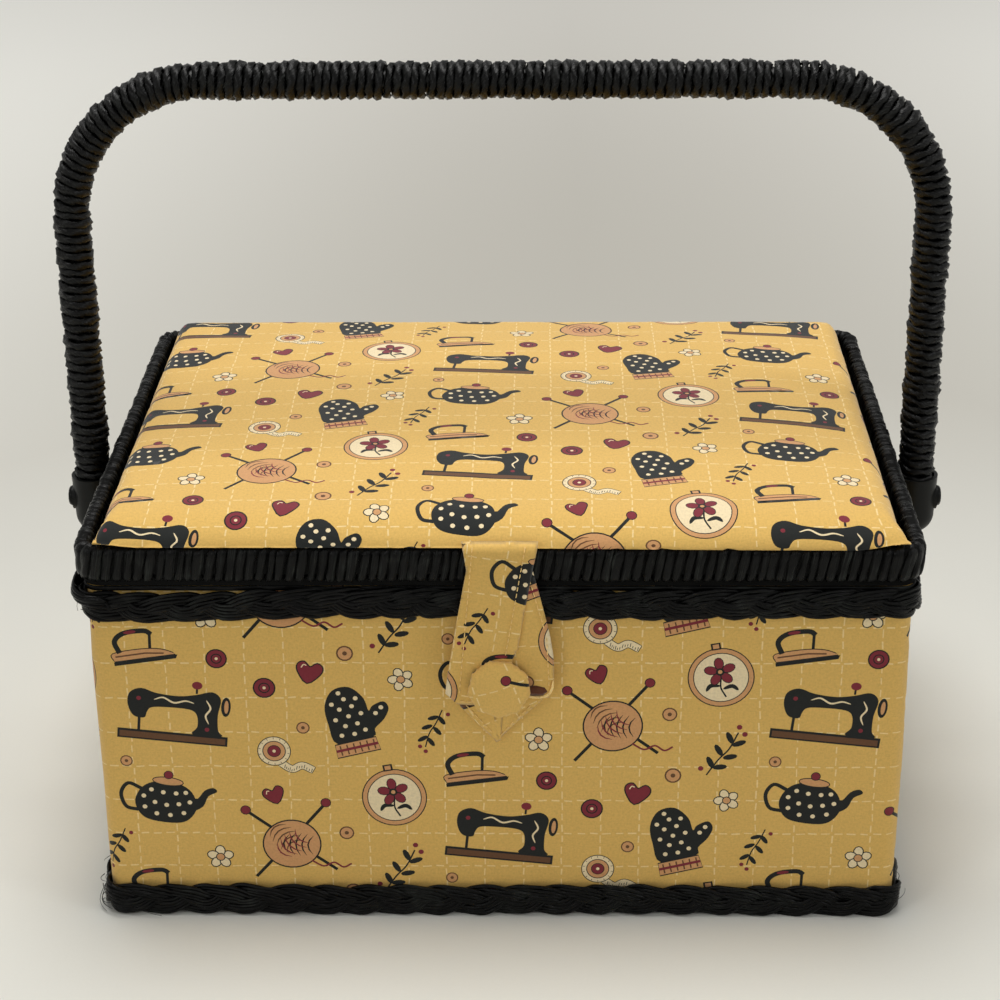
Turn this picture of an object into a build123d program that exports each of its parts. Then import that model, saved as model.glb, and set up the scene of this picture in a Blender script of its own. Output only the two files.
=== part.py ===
from build123d import *
import math
import os

# Sewing carrier: a cloth-covered board case with a padded, hinged lid and a wrapped bail handle.
# Millimetres. +Z is up, the front faces -Y, and the origin is the middle of the underside.

# ---- Case ----
case_width = 292.0            # over the cloth, left to right
case_depth = 214.0            # over the cloth, front to back
case_top = 136.5              # top edge of the walls above the table
case_corner = 5.0             # upright corners, over the cloth
cloth = 0.8                   # printed cotton, glued on
board = 3.0                   # wall boards
base_board_thickness = 3.0
base_sheet_thickness = 0.8    # sheet glued under the base
lining = 1.0                  # padded cotton lining
glue_gap = 0.1                # between glued skins

# ---- Plaited trims round the case ----
top_braid_drop = 0.7          # top of the upper plait below the case's top edge
top_braid_height = 12.3
base_braid_height = 12.3
braid_proud = 3.0             # how far a plait stands out from the cloth
braid_round = 1.3

# ---- Lid ----
part_gap = 0.3                # between case and lid when shut
rim_overhang_side = 4.0       # wrapped rim beyond the cloth, left and right
rim_overhang_front = 4.5      # wrapped rim beyond the cloth, front and back
rim_height = 13.3
rim_thickness = 6.8           # wrapped rim, outside to inside
rim_corner = 10.0
rim_round = 2.6
wrap_cord = 1.4               # cord wound round the rim's core
core_gap = 0.02               # between the winding and the core
lid_frame_height = 3.2        # plain black frame under the rim
lid_frame_inset = 3.0         # how far that frame is set back from the rim's face
lid_frame_width = 11.0
lid_board_thickness = 3.0
lid_lining = 0.9
pad_overhang_front = 3.8      # pad over the rim's front rail, from the rim's inner face
pad_overhang_side = 1.0
pad_corner = 9.0
pad_crown = 10.4              # middle of the pad above the rim's top
pad_corner_height = 3.9       # the pad's side at its corners, before the edge is rounded
pad_edge_round = 3.2
seat_gap = 0.3                # between the pad's overhang and the rim's top

# ---- Inside of the lid ----
pincushion_size = (92.0, 62.0, 10.0)
pincushion_middle = (66.0, 8.0)
pincushion_round = 4.0
pocket_size = (118.0, 112.0, 3.8)
pocket_middle = (-62.0, 12.0)
pocket_sheet = 1.0

# ---- Hinges ----
hinge_stand_off = 6.2         # pin behind the cloth of the back wall
hinge_spacing = 170.0         # between the middles of the two hinges
hinge_width = 24.0
hinge_lid_knuckle = 9.4
hinge_barrel_radius = 2.2
hinge_pin_radius = 1.0
hinge_bore_clearance = 0.05
hinge_pin_proud = 0.4         # pin beyond the knuckles at each end
hinge_pin_chamfer = 0.25
leaf = 0.7
leaves_gap = 0.4              # between the two leaves when shut
leaf_gap = 0.3                # between a leaf and the other leaf's knuckles
hinge_flange_height = 17.0    # leg of the case leaf, down the inside of the wall
hinge_lid_leaf_reach = 14.5   # lid leaf, from the pin inwards
screw_head_radius = 1.6
screw_shank_radius = 0.9
screw_length = 2.1
screw_clearance = 0.05
screw_spacing = 14.0
case_screw_drop = 9.35        # screws below the case's top edge
lid_screw_inset = 4.0         # screws from the inner edge of the lid leaf
lid_screw_tip_gap = 0.2       # tips below the top of the lid's frame

# ---- Handle ----
leg_stand_off = 15.4          # middle of each leg beyond the cloth
handle_rise = 166.5           # middle of the grip above the rivets
handle_bend = 52.0
handle_tube_radius = 4.5
handle_tube_wall = 1.0
handle_wrap_radius = 7.15
tube_gap = 0.05               # between the tube and what surrounds it
pivot_drop = 13.5             # rivets below the case's top edge
cap_top_radius = 8.6
cap_low_radius = 8.0
cap_above_pivot = 9.4
cap_below_pivot = 15.0
cap_floor = 3.0
cap_collar = 4.4              # depth of the socket that the wrap's end sits in
cap_socket_gap = 0.15
boss_radius = 5.2
boss_proud = 0.15
rivet_radius = 2.0
rivet_clearance = 0.05
rivet_head_radius = 4.0
rivet_head_height = 1.7
rivet_head_round = 1.36
rivet_tail_radius = 3.6
rivet_tail_height = 1.1
pivot_washer_radius = 5.5
pivot_washer_thickness = 0.8
spacer_radius = 4.5
spacer_gap = 0.3

# ---- Button and closing tab ----
button_drop = 38.1            # middle of the button below the case's top edge
button_radius = 10.9
button_edge = 2.2
button_dome = 4.9
button_stand_off = 5.4        # back of the button in front of the cloth
button_skin = 0.6
button_skin_gap = 0.05        # between the button's cloth and its shell
shank_radius = 2.0
shank_washer_radius = 5.0
shank_washer_thickness = 0.8
tab_thickness = 2.0
tab_top_half_width = 13.3
tab_neck_half_width = 11.9
tab_neck_drop = 6.0
tab_low_half_width = 19.3
tab_shoulder_drop = 54.6
tab_heel_drop = 59.6
tab_heel_half_width = 18.2
tab_length = 78.0             # top of the rim to the point
tab_point_gap = 1.2           # point of the tab in front of the cloth
tab_rim_gap = 1.1             # strap in front of the rim, where it turns down
tab_hole = (6.4, 13.0)
anchor_thickness = 1.6
anchor_reach = 13.0
anchor_round = 0.96

# ---- Tray ----
tray_side_gap = 2.7
tray_end_gap = 2.2
tray_height = 33.0
tray_wall = 1.5
tray_corner = 6.0
tray_divider_height = 26.0
tray_divider_x = 76.0
tray_end_divider_y = 30.0
tray_slot_divider_y = -52.0
tray_finger_radius = 13.0
tray_seat_gap = 0.3
tray_drop = 52.2              # underside of the tray below the case's top edge
support_width = 6.0
support_length = 120.0

# ---- Sizes that follow ----
inner_cloth_width = case_width - 2 * cloth
inner_cloth_depth = case_depth - 2 * cloth
inner_board_width = inner_cloth_width - 2 * board
inner_board_depth = inner_cloth_depth - 2 * board
room_width = inner_board_width - 2 * lining
room_depth = inner_board_depth - 2 * lining
base_board_top = base_sheet_thickness + base_board_thickness
room_floor = base_board_top + lining
inner_corner = case_corner - cloth
lining_corner = 2.0
top_braid_bottom = case_top - top_braid_drop - top_braid_height

rim_width = case_width + 2 * rim_overhang_side
rim_depth = case_depth + 2 * rim_overhang_front
lid_bottom = case_top + part_gap
rim_bottom = lid_bottom + lid_frame_height
rim_top = rim_bottom + rim_height
rim_inner_width = rim_width - 2 * rim_thickness
rim_inner_depth = rim_depth - 2 * rim_thickness
rim_inner_corner = rim_corner - rim_thickness
lid_frame_outer_width = rim_width - 2 * lid_frame_inset
lid_frame_outer_depth = rim_depth - 2 * lid_frame_inset
lid_frame_inner_width = lid_frame_outer_width - 2 * lid_frame_width
lid_frame_inner_depth = lid_frame_outer_depth - 2 * lid_frame_width
lid_board_top = rim_bottom + lid_board_thickness
pad_neck_width = rim_inner_width - 2 * seat_gap
pad_neck_depth = rim_inner_depth - 2 * seat_gap
pad_width = rim_inner_width + 2 * pad_overhang_side
pad_front = -(rim_inner_depth / 2 + pad_overhang_front)
pad_rear = rim_inner_depth / 2 + pad_overhang_side
pad_bottom = rim_top + seat_gap
pad_top = rim_top + pad_crown
pad_bulge = pad_crown - seat_gap - pad_corner_height
pad_crown_radius = ((pad_width / 2) ** 2 + pad_front ** 2 + pad_bulge ** 2) / (2 * pad_bulge)
lid_under = rim_bottom - lid_lining

hinge_axis_y = case_depth / 2 + hinge_stand_off
hinge_axis_z = case_top + leaf + leaves_gap / 2
lid_leaf_bottom = case_top + leaf + leaves_gap
lid_leaf_top = lid_leaf_bottom + leaf
lid_leaf_inner_y = hinge_axis_y - hinge_lid_leaf_reach

pivot_height = case_top - pivot_drop
handle_leg_x = case_width / 2 + leg_stand_off
handle_top = pivot_height + handle_rise
cap_top = pivot_height + cap_above_pivot
cap_bottom = pivot_height - cap_below_pivot
wrap_end = cap_top - cap_collar
tube_end = cap_bottom + cap_floor
cap_pivot_radius = cap_low_radius + (cap_top_radius - cap_low_radius) * (
    (cap_below_pivot - cap_low_radius) / (cap_below_pivot - cap_low_radius + cap_above_pivot)
)
boss_inner_x = handle_leg_x - cap_pivot_radius - boss_proud
boss_outer_x = handle_leg_x + cap_pivot_radius + boss_proud
rivet_head_x = boss_outer_x + glue_gap
rivet_tail_x = room_width / 2 - pivot_washer_thickness - glue_gap
rivet_hole = rivet_radius + rivet_clearance

button_height = case_top - button_drop
tab_top = rim_top
tab_tilt = math.degrees(
    math.asin((rim_depth / 2 + tab_rim_gap - case_depth / 2 - tab_point_gap) / tab_length)
)
button_back_y = -case_depth / 2 - button_stand_off

tray_width = room_width - 2 * tray_side_gap
tray_depth = room_depth - 2 * tray_end_gap
tray_bottom = case_top - tray_drop
support_top = tray_bottom - tray_seat_gap
tray_top = tray_bottom + tray_height


# ---- Shape helpers ----
def prism(width, depth, corner, low, high):
    """A rectangular prism with rounded upright edges, centred on the Z axis."""
    return Pos(0, 0, low) * extrude(RectangleRounded(width, depth, corner), high - low)


def slab(x, y, z):
    """A plain box from three (low, high) pairs."""
    size = [high - low for low, high in (x, y, z)]
    middle = [(high + low) / 2 for low, high in (x, y, z)]
    return Pos(*middle) * Box(*size)


def rod_x(radius, start, end, y, z):
    """A cylinder along X."""
    return Pos((start + end) / 2, y, z) * Rot(0, 90, 0) * Cylinder(radius, abs(end - start))


def rod_y(radius, start, end, x, z):
    """A cylinder along Y."""
    return Pos(x, (start + end) / 2, z) * Rot(90, 0, 0) * Cylinder(radius, abs(end - start))


def rod_z(radius, start, end, x, y):
    """A cylinder along Z."""
    return Pos(x, y, (start + end) / 2) * Cylinder(radius, abs(end - start))


def edges_at(solid, height):
    """Edges that lie flat at one height."""
    return solid.edges().filter_by_position(Axis.Z, height - 0.01, height + 0.01)


# ---- Case ----
def pivot_holes():
    """Drillings for both handle rivets, right through the case walls."""
    return rod_x(rivet_hole, -case_width, case_width, 0, pivot_height)


def shank_hole():
    """Drilling for the button's shank, through the front of the case."""
    return rod_y(shank_radius + glue_gap, -case_depth, 0, 0, button_height)


def wall_boards():
    """Front, back, left and right boards. The ends stand between the front and the back."""
    solid = prism(inner_cloth_width - 2 * glue_gap, inner_cloth_depth - 2 * glue_gap,
                  inner_corner - glue_gap, base_sheet_thickness, case_top)
    low_y = inner_board_depth / 2
    high_y = inner_cloth_depth / 2 - glue_gap
    low_x = inner_board_width / 2
    high_x = inner_cloth_width / 2 - glue_gap
    z = (base_sheet_thickness, case_top)
    front = solid & slab((-high_x, high_x), (-high_y, -low_y), z)
    back = solid & slab((-high_x, high_x), (low_y, high_y), z)
    left = solid & slab((-high_x, -low_x), (-low_y, low_y), z)
    right = solid & slab((low_x, high_x), (-low_y, low_y), z)
    front -= shank_hole()
    back -= case_screw_holes()
    return {
        "front_board": front,
        "back_board": back,
        "left_board": left - pivot_holes(),
        "right_board": right - pivot_holes(),
    }


def base_board():
    return prism(inner_board_width - 2 * glue_gap, inner_board_depth - 2 * glue_gap, lining_corner,
                 base_sheet_thickness, base_board_top)


def base_sheet():
    return prism(case_width, case_depth, case_corner, 0, base_sheet_thickness)


def case_cloth():
    outer = prism(case_width, case_depth, case_corner, base_sheet_thickness, case_top)
    inner = prism(inner_cloth_width, inner_cloth_depth, inner_corner, base_sheet_thickness, case_top)
    return outer - inner - shank_hole() - pivot_holes()


def case_lining():
    outer = prism(inner_board_width - 2 * glue_gap, inner_board_depth - 2 * glue_gap, lining_corner,
                  base_board_top, case_top)
    inner = prism(room_width, room_depth, lining_corner, room_floor, case_top)
    return outer - inner - pivot_holes() - case_screw_holes() - shank_hole()


def braid(low, height):
    """One plait round the case: its inner face lies on the cloth."""
    width = case_width + 2 * braid_proud
    depth = case_depth + 2 * braid_proud
    outer = prism(width, depth, case_corner + braid_proud, low, low + height)
    outer = fillet(edges_at(outer, low) + edges_at(outer, low + height), braid_round)
    inner = prism(case_width + 2 * glue_gap, case_depth + 2 * glue_gap, case_corner + glue_gap,
                  low, low + height)
    return outer - inner


def top_braid():
    notches = [
        rod_x(spacer_radius + spacer_gap, side * case_width / 2, side * case_width, 0, pivot_height)
        for side in (-1, 1)
    ]
    return braid(top_braid_bottom, top_braid_height) - notches[0] - notches[1]


def base_braid():
    return braid(0, base_braid_height)


def tray_support(side):
    wall = side * (room_width / 2 - glue_gap)
    x = sorted((wall, wall - side * support_width))
    return slab(x, (-support_length / 2, support_length / 2), (room_floor, support_top))


# ---- Hinges ----
def hinge_places():
    return (-hinge_spacing / 2, hinge_spacing / 2)


def barrel(start, end):
    return rod_x(hinge_barrel_radius, start, end, hinge_axis_y, hinge_axis_z)


def pin_bore(middle):
    radius = hinge_pin_radius + hinge_bore_clearance
    reach = hinge_width
    return rod_x(radius, middle - reach, middle + reach, hinge_axis_y, hinge_axis_z)


def case_screw_places():
    """Middles of the case-leaf screws: two in each leaf, side by side in the flange."""
    height = case_top - case_screw_drop
    return [(x + side * screw_spacing / 2, height) for x in hinge_places() for side in (-1, 1)]


def lid_screw_places():
    y = lid_leaf_inner_y + lid_screw_inset
    return [(x + side * screw_spacing / 2, y) for x in hinge_places() for side in (-1, 1)]


def case_leaf(middle):
    """A cranked leaf: over the wall's top edge, then down the inside of the lining."""
    half = hinge_width / 2
    knuckle_half = hinge_lid_knuckle / 2 + leaf_gap
    inner_y = room_depth / 2 - leaf
    x = (middle - half, middle + half)
    top = slab(x, (inner_y, hinge_axis_y), (case_top, case_top + leaf))
    flange = slab(x, (inner_y, room_depth / 2), (case_top - hinge_flange_height, case_top + leaf))
    room_for_lid_knuckle = slab(
        (middle - knuckle_half, middle + knuckle_half),
        (hinge_axis_y - hinge_barrel_radius - leaf_gap, hinge_axis_y + hinge_barrel_radius),
        (case_top - leaf, case_top + 2 * leaf),
    )
    solid = top + flange
    solid += barrel(middle - half, middle - knuckle_half)
    solid += barrel(middle + knuckle_half, middle + half)
    solid = solid - room_for_lid_knuckle - pin_bore(middle)
    for x_place, z_place in case_screw_places():
        solid -= rod_y(screw_head_radius + screw_clearance, 0, room_depth / 2, x_place, z_place)
    return solid


def lid_leaf(middle):
    """A flat leaf under the lid's frame, with the middle knuckle."""
    half = hinge_width / 2
    knuckle_half = hinge_lid_knuckle / 2
    low = lid_leaf_bottom
    plate_outer = hinge_axis_y - hinge_barrel_radius - leaf_gap
    plate = slab((middle - half, middle + half), (lid_leaf_inner_y, plate_outer), (low, low + leaf))
    tongue = slab((middle - knuckle_half, middle + knuckle_half), (plate_outer, hinge_axis_y),
                  (low, low + leaf))
    solid = plate + tongue + barrel(middle - knuckle_half, middle + knuckle_half) - pin_bore(middle)
    for x_place, y_place in lid_screw_places():
        solid -= rod_z(screw_head_radius + screw_clearance, low, low + leaf, x_place, y_place)
    return solid


def hinge_pin(middle):
    half = hinge_width / 2 + hinge_pin_proud
    pin = rod_x(hinge_pin_radius, middle - half, middle + half, hinge_axis_y, hinge_axis_z)
    return chamfer(pin.edges().filter_by(GeomType.CIRCLE), hinge_pin_chamfer)


def case_screw_holes():
    """Pilot holes for the case screws, through the lining and into the back board."""
    wall = room_depth / 2
    holes = [rod_y(screw_shank_radius + glue_gap, wall, wall + screw_length + glue_gap, x, z)
             for x, z in case_screw_places()]
    return holes[0] + holes[1:]


def case_screws():
    wall = room_depth / 2
    screws = []
    for x, z in case_screw_places():
        head = rod_y(screw_head_radius, wall - leaf, wall, x, z)
        shank = rod_y(screw_shank_radius, wall, wall + screw_length, x, z)
        screws.append(head + shank)
    return screws


def lid_screws():
    low = lid_leaf_bottom
    screws = []
    for x, y in lid_screw_places():
        head = rod_z(screw_head_radius, low, low + leaf, x, y)
        shank = rod_z(screw_shank_radius, low + leaf, rim_bottom - lid_screw_tip_gap, x, y)
        screws.append(head + shank)
    return screws


# ---- Lid ----
def lid_frame():
    """The plain frame that shows as a dark line under the wrapped rim."""
    outer = prism(lid_frame_outer_width, lid_frame_outer_depth, rim_corner - lid_frame_inset,
                  lid_bottom, rim_bottom)
    inner = prism(lid_frame_inner_width, lid_frame_inner_depth, lining_corner, lid_bottom, rim_bottom)
    frame = outer - inner
    for middle in hinge_places():
        half = hinge_width / 2 + leaf_gap
        frame -= slab((middle - half, middle + half), (0, rim_depth), (lid_bottom, lid_leaf_top))
    for x, y in lid_screw_places():
        frame -= rod_z(screw_shank_radius + glue_gap, lid_bottom, rim_bottom - glue_gap, x, y)
    return frame


def lid_board():
    width = pad_neck_width - 2 * cloth - 2 * glue_gap
    depth = pad_neck_depth - 2 * cloth - 2 * glue_gap
    return prism(width, depth, rim_inner_corner, rim_bottom, lid_board_top)


def rim_ring(inset):
    """The rim's section, shrunk by an inset on every face."""
    low = rim_bottom + inset
    high = rim_top - inset
    outer = prism(rim_width - 2 * inset, rim_depth - 2 * inset, rim_corner - inset, low, high)
    inner = prism(rim_inner_width + 2 * inset, rim_inner_depth + 2 * inset,
                  rim_inner_corner + inset, low, high)
    ring = outer - inner
    rounding = rim_round - inset
    return fillet(edges_at(ring, low) + edges_at(ring, high), rounding)


def rim_core():
    return rim_ring(wrap_cord)


def rim_wrap():
    return rim_ring(0) - rim_ring(wrap_cord - core_gap)


def pad_body(skin):
    """The pad's form, shrunk by the thickness of its cover."""
    low = pad_bottom + skin
    front = pad_front + skin
    rear = pad_rear - skin
    width = pad_width - 2 * skin
    block = Pos(0, (rear + front) / 2, 0) * prism(width, rear - front, pad_corner - skin, low, pad_top)
    crown = Pos(0, 0, pad_top - pad_crown_radius) * Sphere(pad_crown_radius - skin)
    block = block & crown
    top_face = block.faces().sort_by(Axis.Z)[-1]
    block = fillet(top_face.edges(), pad_edge_round - skin)
    neck = prism(pad_neck_width - 2 * skin, pad_neck_depth - 2 * skin, rim_inner_corner,
                 rim_bottom, low + pad_edge_round / 2)
    return block + neck


def anchor_pocket():
    """Room for the sewn end of the closing tab, under the pad's front edge."""
    half = tab_top_half_width + glue_gap
    inner_y = -rim_depth / 2 + anchor_reach + glue_gap
    return slab((-half, half), (-rim_depth, inner_y),
                (rim_top, pad_bottom + anchor_thickness + glue_gap))


def lid_cover():
    """Printed cotton over the foam, turned down inside the rim beside the lid board."""
    return pad_body(0) - pad_body(cloth) - anchor_pocket()


def lid_foam():
    above_board = prism(rim_width, rim_depth, rim_corner, lid_board_top, pad_top)
    return (pad_body(cloth + glue_gap) & above_board) - anchor_pocket()


def lid_lining_sheet():
    return prism(lid_frame_inner_width - 2 * glue_gap, lid_frame_inner_depth - 2 * glue_gap,
                 lining_corner, lid_under, rim_bottom)


def pincushion():
    width, depth, height = pincushion_size
    x, y = pincushion_middle
    low = lid_under - height
    pad = Pos(x, y, 0) * prism(width, depth, pincushion_round * 2, low, lid_under)
    return fillet(edges_at(pad, low), pincushion_round)


def lid_pocket():
    """A flat gathered pocket, open towards the front of the lid."""
    width, depth, height = pocket_size
    x, y = pocket_middle
    low = lid_under - height
    outer = slab((x - width / 2, x + width / 2), (y - depth / 2, y + depth / 2), (low, lid_under))
    hollow = slab((x - width / 2 + pocket_sheet, x + width / 2 - pocket_sheet),
                  (y - depth, y + depth / 2 - pocket_sheet), (low + pocket_sheet, lid_under))
    return outer - hollow


# ---- Button and tab ----
def button_form(radius, edge, dome, low):
    """A disc with a domed front, standing on the Z axis."""
    rise = dome - edge
    dome_radius = (radius ** 2 + rise ** 2) / (2 * rise)
    half_turn = math.asin(radius / dome_radius) / 2
    middle = (dome_radius * math.sin(half_turn),
              dome - dome_radius * (1 - math.cos(half_turn)))
    front = ThreePointArc((radius, edge), middle, (0, dome))
    sides = Polyline((0, dome), (0, low), (radius, low), (radius, edge))
    return revolve(Plane.XZ * make_face(front + sides), Axis.Z)


def face_front(solid):
    return Pos(0, button_back_y, button_height) * Rot(90, 0, 0) * solid


def button_cover():
    outer = button_form(button_radius, button_edge, button_dome, 0)
    inner = button_form(button_radius - button_skin, button_edge - button_skin / 2,
                        button_dome - button_skin, -button_skin)
    return face_front(outer - inner)


def button_shell():
    inset = button_skin + button_skin_gap
    return face_front(button_form(button_radius - inset, button_edge - inset / 2,
                                  button_dome - inset, 0))


def button_shank():
    """The stem through the wall and the washer that holds it inside."""
    inner_y = -room_depth / 2
    stem = rod_y(shank_radius, button_back_y, inner_y + shank_washer_thickness, 0, button_height)
    washer = rod_y(shank_washer_radius, inner_y, inner_y + shank_washer_thickness, 0, button_height)
    return stem + washer


def closing_tab():
    """The folded strap that hangs over the rim, with a hole for the button's shank."""
    half = [
        (tab_top_half_width, 0),
        (tab_neck_half_width, -tab_neck_drop),
        (tab_low_half_width, -tab_shoulder_drop),
        (tab_heel_half_width, -tab_heel_drop),
    ]
    mirrored = [(-x, z) for x, z in reversed(half)]
    outline = Polyline(half + [(0, -tab_length)] + mirrored, close=True)
    hole_drop = (button_height - tab_top) / math.cos(math.radians(tab_tilt))
    hole = Pos(0, hole_drop) * SlotOverall(tab_hole[1], tab_hole[0], rotation=90)
    plate = extrude(Plane.XZ * (make_face(outline) - hole), tab_thickness)
    hang = Pos(0, -rim_depth / 2 - tab_rim_gap, tab_top) * Rot(tab_tilt, 0, 0)
    return hang * plate


def tab_anchor():
    """The sewn end of the strap, from the front of the rim back under the pad."""
    front = -rim_depth / 2 - tab_rim_gap - tab_thickness
    low = rim_top + part_gap
    strip = slab((-tab_top_half_width, tab_top_half_width), (front, -rim_depth / 2 + anchor_reach),
                 (low, low + anchor_thickness))
    nose = strip.edges().filter_by(Axis.X).sort_by(Axis.Y)[:2].sort_by(Axis.Z)[-1]
    return fillet(nose, anchor_round)


# ---- Handle ----
def bail_path(low):
    corners = [(-handle_leg_x, low), (-handle_leg_x, handle_top), (handle_leg_x, handle_top),
               (handle_leg_x, low)]
    return Plane.XZ * FilletPolyline(*corners, radius=handle_bend)


def bail(radius, low):
    path = bail_path(low)
    return sweep(Plane(origin=path @ 0, z_dir=path % 0) * Circle(radius), path=path)


def handle_tube():
    """The bent steel tube inside the wrapping, drilled for the rivets."""
    bore = bail(handle_tube_radius - handle_tube_wall, tube_end)
    return bail(handle_tube_radius, tube_end) - bore - pivot_holes()


def handle_wrap():
    return bail(handle_wrap_radius, wrap_end) - bail(handle_tube_radius + tube_gap, tube_end)


def handle_cap(side):
    """A moulded cup over the end of the leg, with flats for the spacer and the rivet's head."""
    low_turn = cap_bottom + cap_low_radius
    lift = cap_low_radius * math.sqrt(0.5)
    bottom = ThreePointArc((0, cap_bottom), (lift, low_turn - lift), (cap_low_radius, low_turn))
    wall = Polyline((cap_low_radius, low_turn), (cap_top_radius, cap_top), (0, cap_top),
                    (0, cap_bottom))
    cup = Pos(handle_leg_x, 0, 0) * revolve(Plane.XZ * make_face(bottom + wall), Axis.Z)
    cup += rod_x(boss_radius, boss_inner_x, boss_outer_x, 0, pivot_height)
    cup -= rod_z(handle_wrap_radius + cap_socket_gap, wrap_end - glue_gap, cap_top, handle_leg_x, 0)
    cup -= rod_z(handle_tube_radius + tube_gap, tube_end - glue_gap, cap_top, handle_leg_x, 0)
    cup -= pivot_holes()
    return cup if side > 0 else cup.mirror(Plane.YZ)


def rivet(side):
    """Shank, domed head outside the cap and clenched tail inside the case."""
    head_end = rivet_head_x + rivet_head_height
    tail_end = rivet_tail_x - rivet_tail_height
    shank = rod_x(rivet_radius, rivet_tail_x, rivet_head_x, 0, pivot_height)
    head = rod_x(rivet_head_radius, rivet_head_x, head_end, 0, pivot_height)
    outer_rim = head.edges().filter_by(GeomType.CIRCLE).sort_by(Axis.X)[-1]
    head = fillet(outer_rim, rivet_head_round)
    tail = rod_x(rivet_tail_radius, tail_end, rivet_tail_x, 0, pivot_height)
    solid = shank + head + tail
    return solid if side > 0 else solid.mirror(Plane.YZ)


def pivot_washer(side):
    wall = room_width / 2
    inner = wall - pivot_washer_thickness
    return rod_x(pivot_washer_radius, side * inner, side * wall, 0, pivot_height) - pivot_holes()


def pivot_spacer(side):
    start = side * (case_width / 2 + glue_gap)
    end = side * (boss_inner_x - spacer_gap)
    return rod_x(spacer_radius, start, end, 0, pivot_height) - pivot_holes()


# ---- Tray ----
def tray_cells():
    """The seven compartments: (x low, x high, y low, y high)."""
    half_x = tray_width / 2 - tray_wall
    half_y = tray_depth / 2 - tray_wall
    wall = tray_wall / 2
    end_x = tray_divider_x + wall
    middle_x = tray_divider_x - wall
    cells = []
    for low, high in ((-half_y, -tray_end_divider_y - wall),
                      (-tray_end_divider_y + wall, tray_end_divider_y - wall),
                      (tray_end_divider_y + wall, half_y)):
        cells.append((-half_x, -end_x, low, high))
    for low, high in ((-half_y, -wall), (wall, half_y)):
        cells.append((end_x, half_x, low, high))
    for low, high in ((-half_y, tray_slot_divider_y - wall), (tray_slot_divider_y + wall, half_y)):
        cells.append((-middle_x, middle_x, low, high))
    return cells


def tray():
    outer = prism(tray_width, tray_depth, tray_corner, tray_bottom, tray_top)
    above = prism(tray_width - 2 * tray_wall, tray_depth - 2 * tray_wall, tray_corner - tray_wall,
                  tray_bottom + tray_divider_height, tray_top)
    room = prism(tray_width - 2 * tray_wall, tray_depth - 2 * tray_wall, tray_corner - tray_wall,
                 tray_bottom + tray_wall, tray_top)
    shell = outer - above
    for x_low, x_high, y_low, y_high in tray_cells():
        shell -= room & slab((x_low, x_high), (y_low, y_high), (tray_bottom, tray_top))
    for side in (-1, 1):
        shell -= rod_x(tray_finger_radius, side * (tray_divider_x - tray_wall),
                       side * (tray_divider_x + tray_wall),
                       tray_end_divider_y / 2, tray_bottom + tray_divider_height)
    return shell


# ---- All pieces ----
def pieces():
    left_hinge, right_hinge = hinge_places()
    made = {
        "base_sheet": base_sheet(),
        "base_board": base_board(),
        "case_cloth": case_cloth(),
        "case_lining": case_lining(),
        "top_braid": top_braid(),
        "base_braid": base_braid(),
        "tray_support_left": tray_support(-1),
        "tray_support_right": tray_support(1),
        "hinge_case_leaf_left": case_leaf(left_hinge),
        "hinge_case_leaf_right": case_leaf(right_hinge),
        "hinge_pin_left": hinge_pin(left_hinge),
        "hinge_pin_right": hinge_pin(right_hinge),
        "hinge_case_screws": case_screws(),
        "button_cover": button_cover(),
        "button_shell": button_shell(),
        "button_shank": button_shank(),
        "pivot_washer_left": pivot_washer(-1),
        "pivot_washer_right": pivot_washer(1),
        "pivot_spacer_left": pivot_spacer(-1),
        "pivot_spacer_right": pivot_spacer(1),
        "lid_frame": lid_frame(),
        "lid_board": lid_board(),
        "rim_core": rim_core(),
        "rim_wrap": rim_wrap(),
        "lid_foam": lid_foam(),
        "lid_cover": lid_cover(),
        "lid_lining": lid_lining_sheet(),
        "lid_pocket": lid_pocket(),
        "lid_pincushion": pincushion(),
        "hinge_lid_leaf_left": lid_leaf(left_hinge),
        "hinge_lid_leaf_right": lid_leaf(right_hinge),
        "hinge_lid_screws": lid_screws(),
        "tab_anchor": tab_anchor(),
        "closing_tab": closing_tab(),
        "handle_rivet_left": rivet(-1),
        "handle_rivet_right": rivet(1),
        "handle_tube": handle_tube(),
        "handle_wrap": handle_wrap(),
        "handle_cap_left": handle_cap(-1),
        "handle_cap_right": handle_cap(1),
        "tray": tray(),
    }
    made.update(wall_boards())
    return made


os.makedirs("parts", exist_ok=True)
for name, shape in pieces().items():
    solids = shape if isinstance(shape, list) else shape.solids()
    export_step(Compound(children=list(solids)) if len(solids) > 1 else solids[0],
                os.path.join("parts", name + ".step"))
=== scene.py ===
import math
import random

import bpy
import numpy as np
from mathutils import Matrix, Vector, geometry


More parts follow.
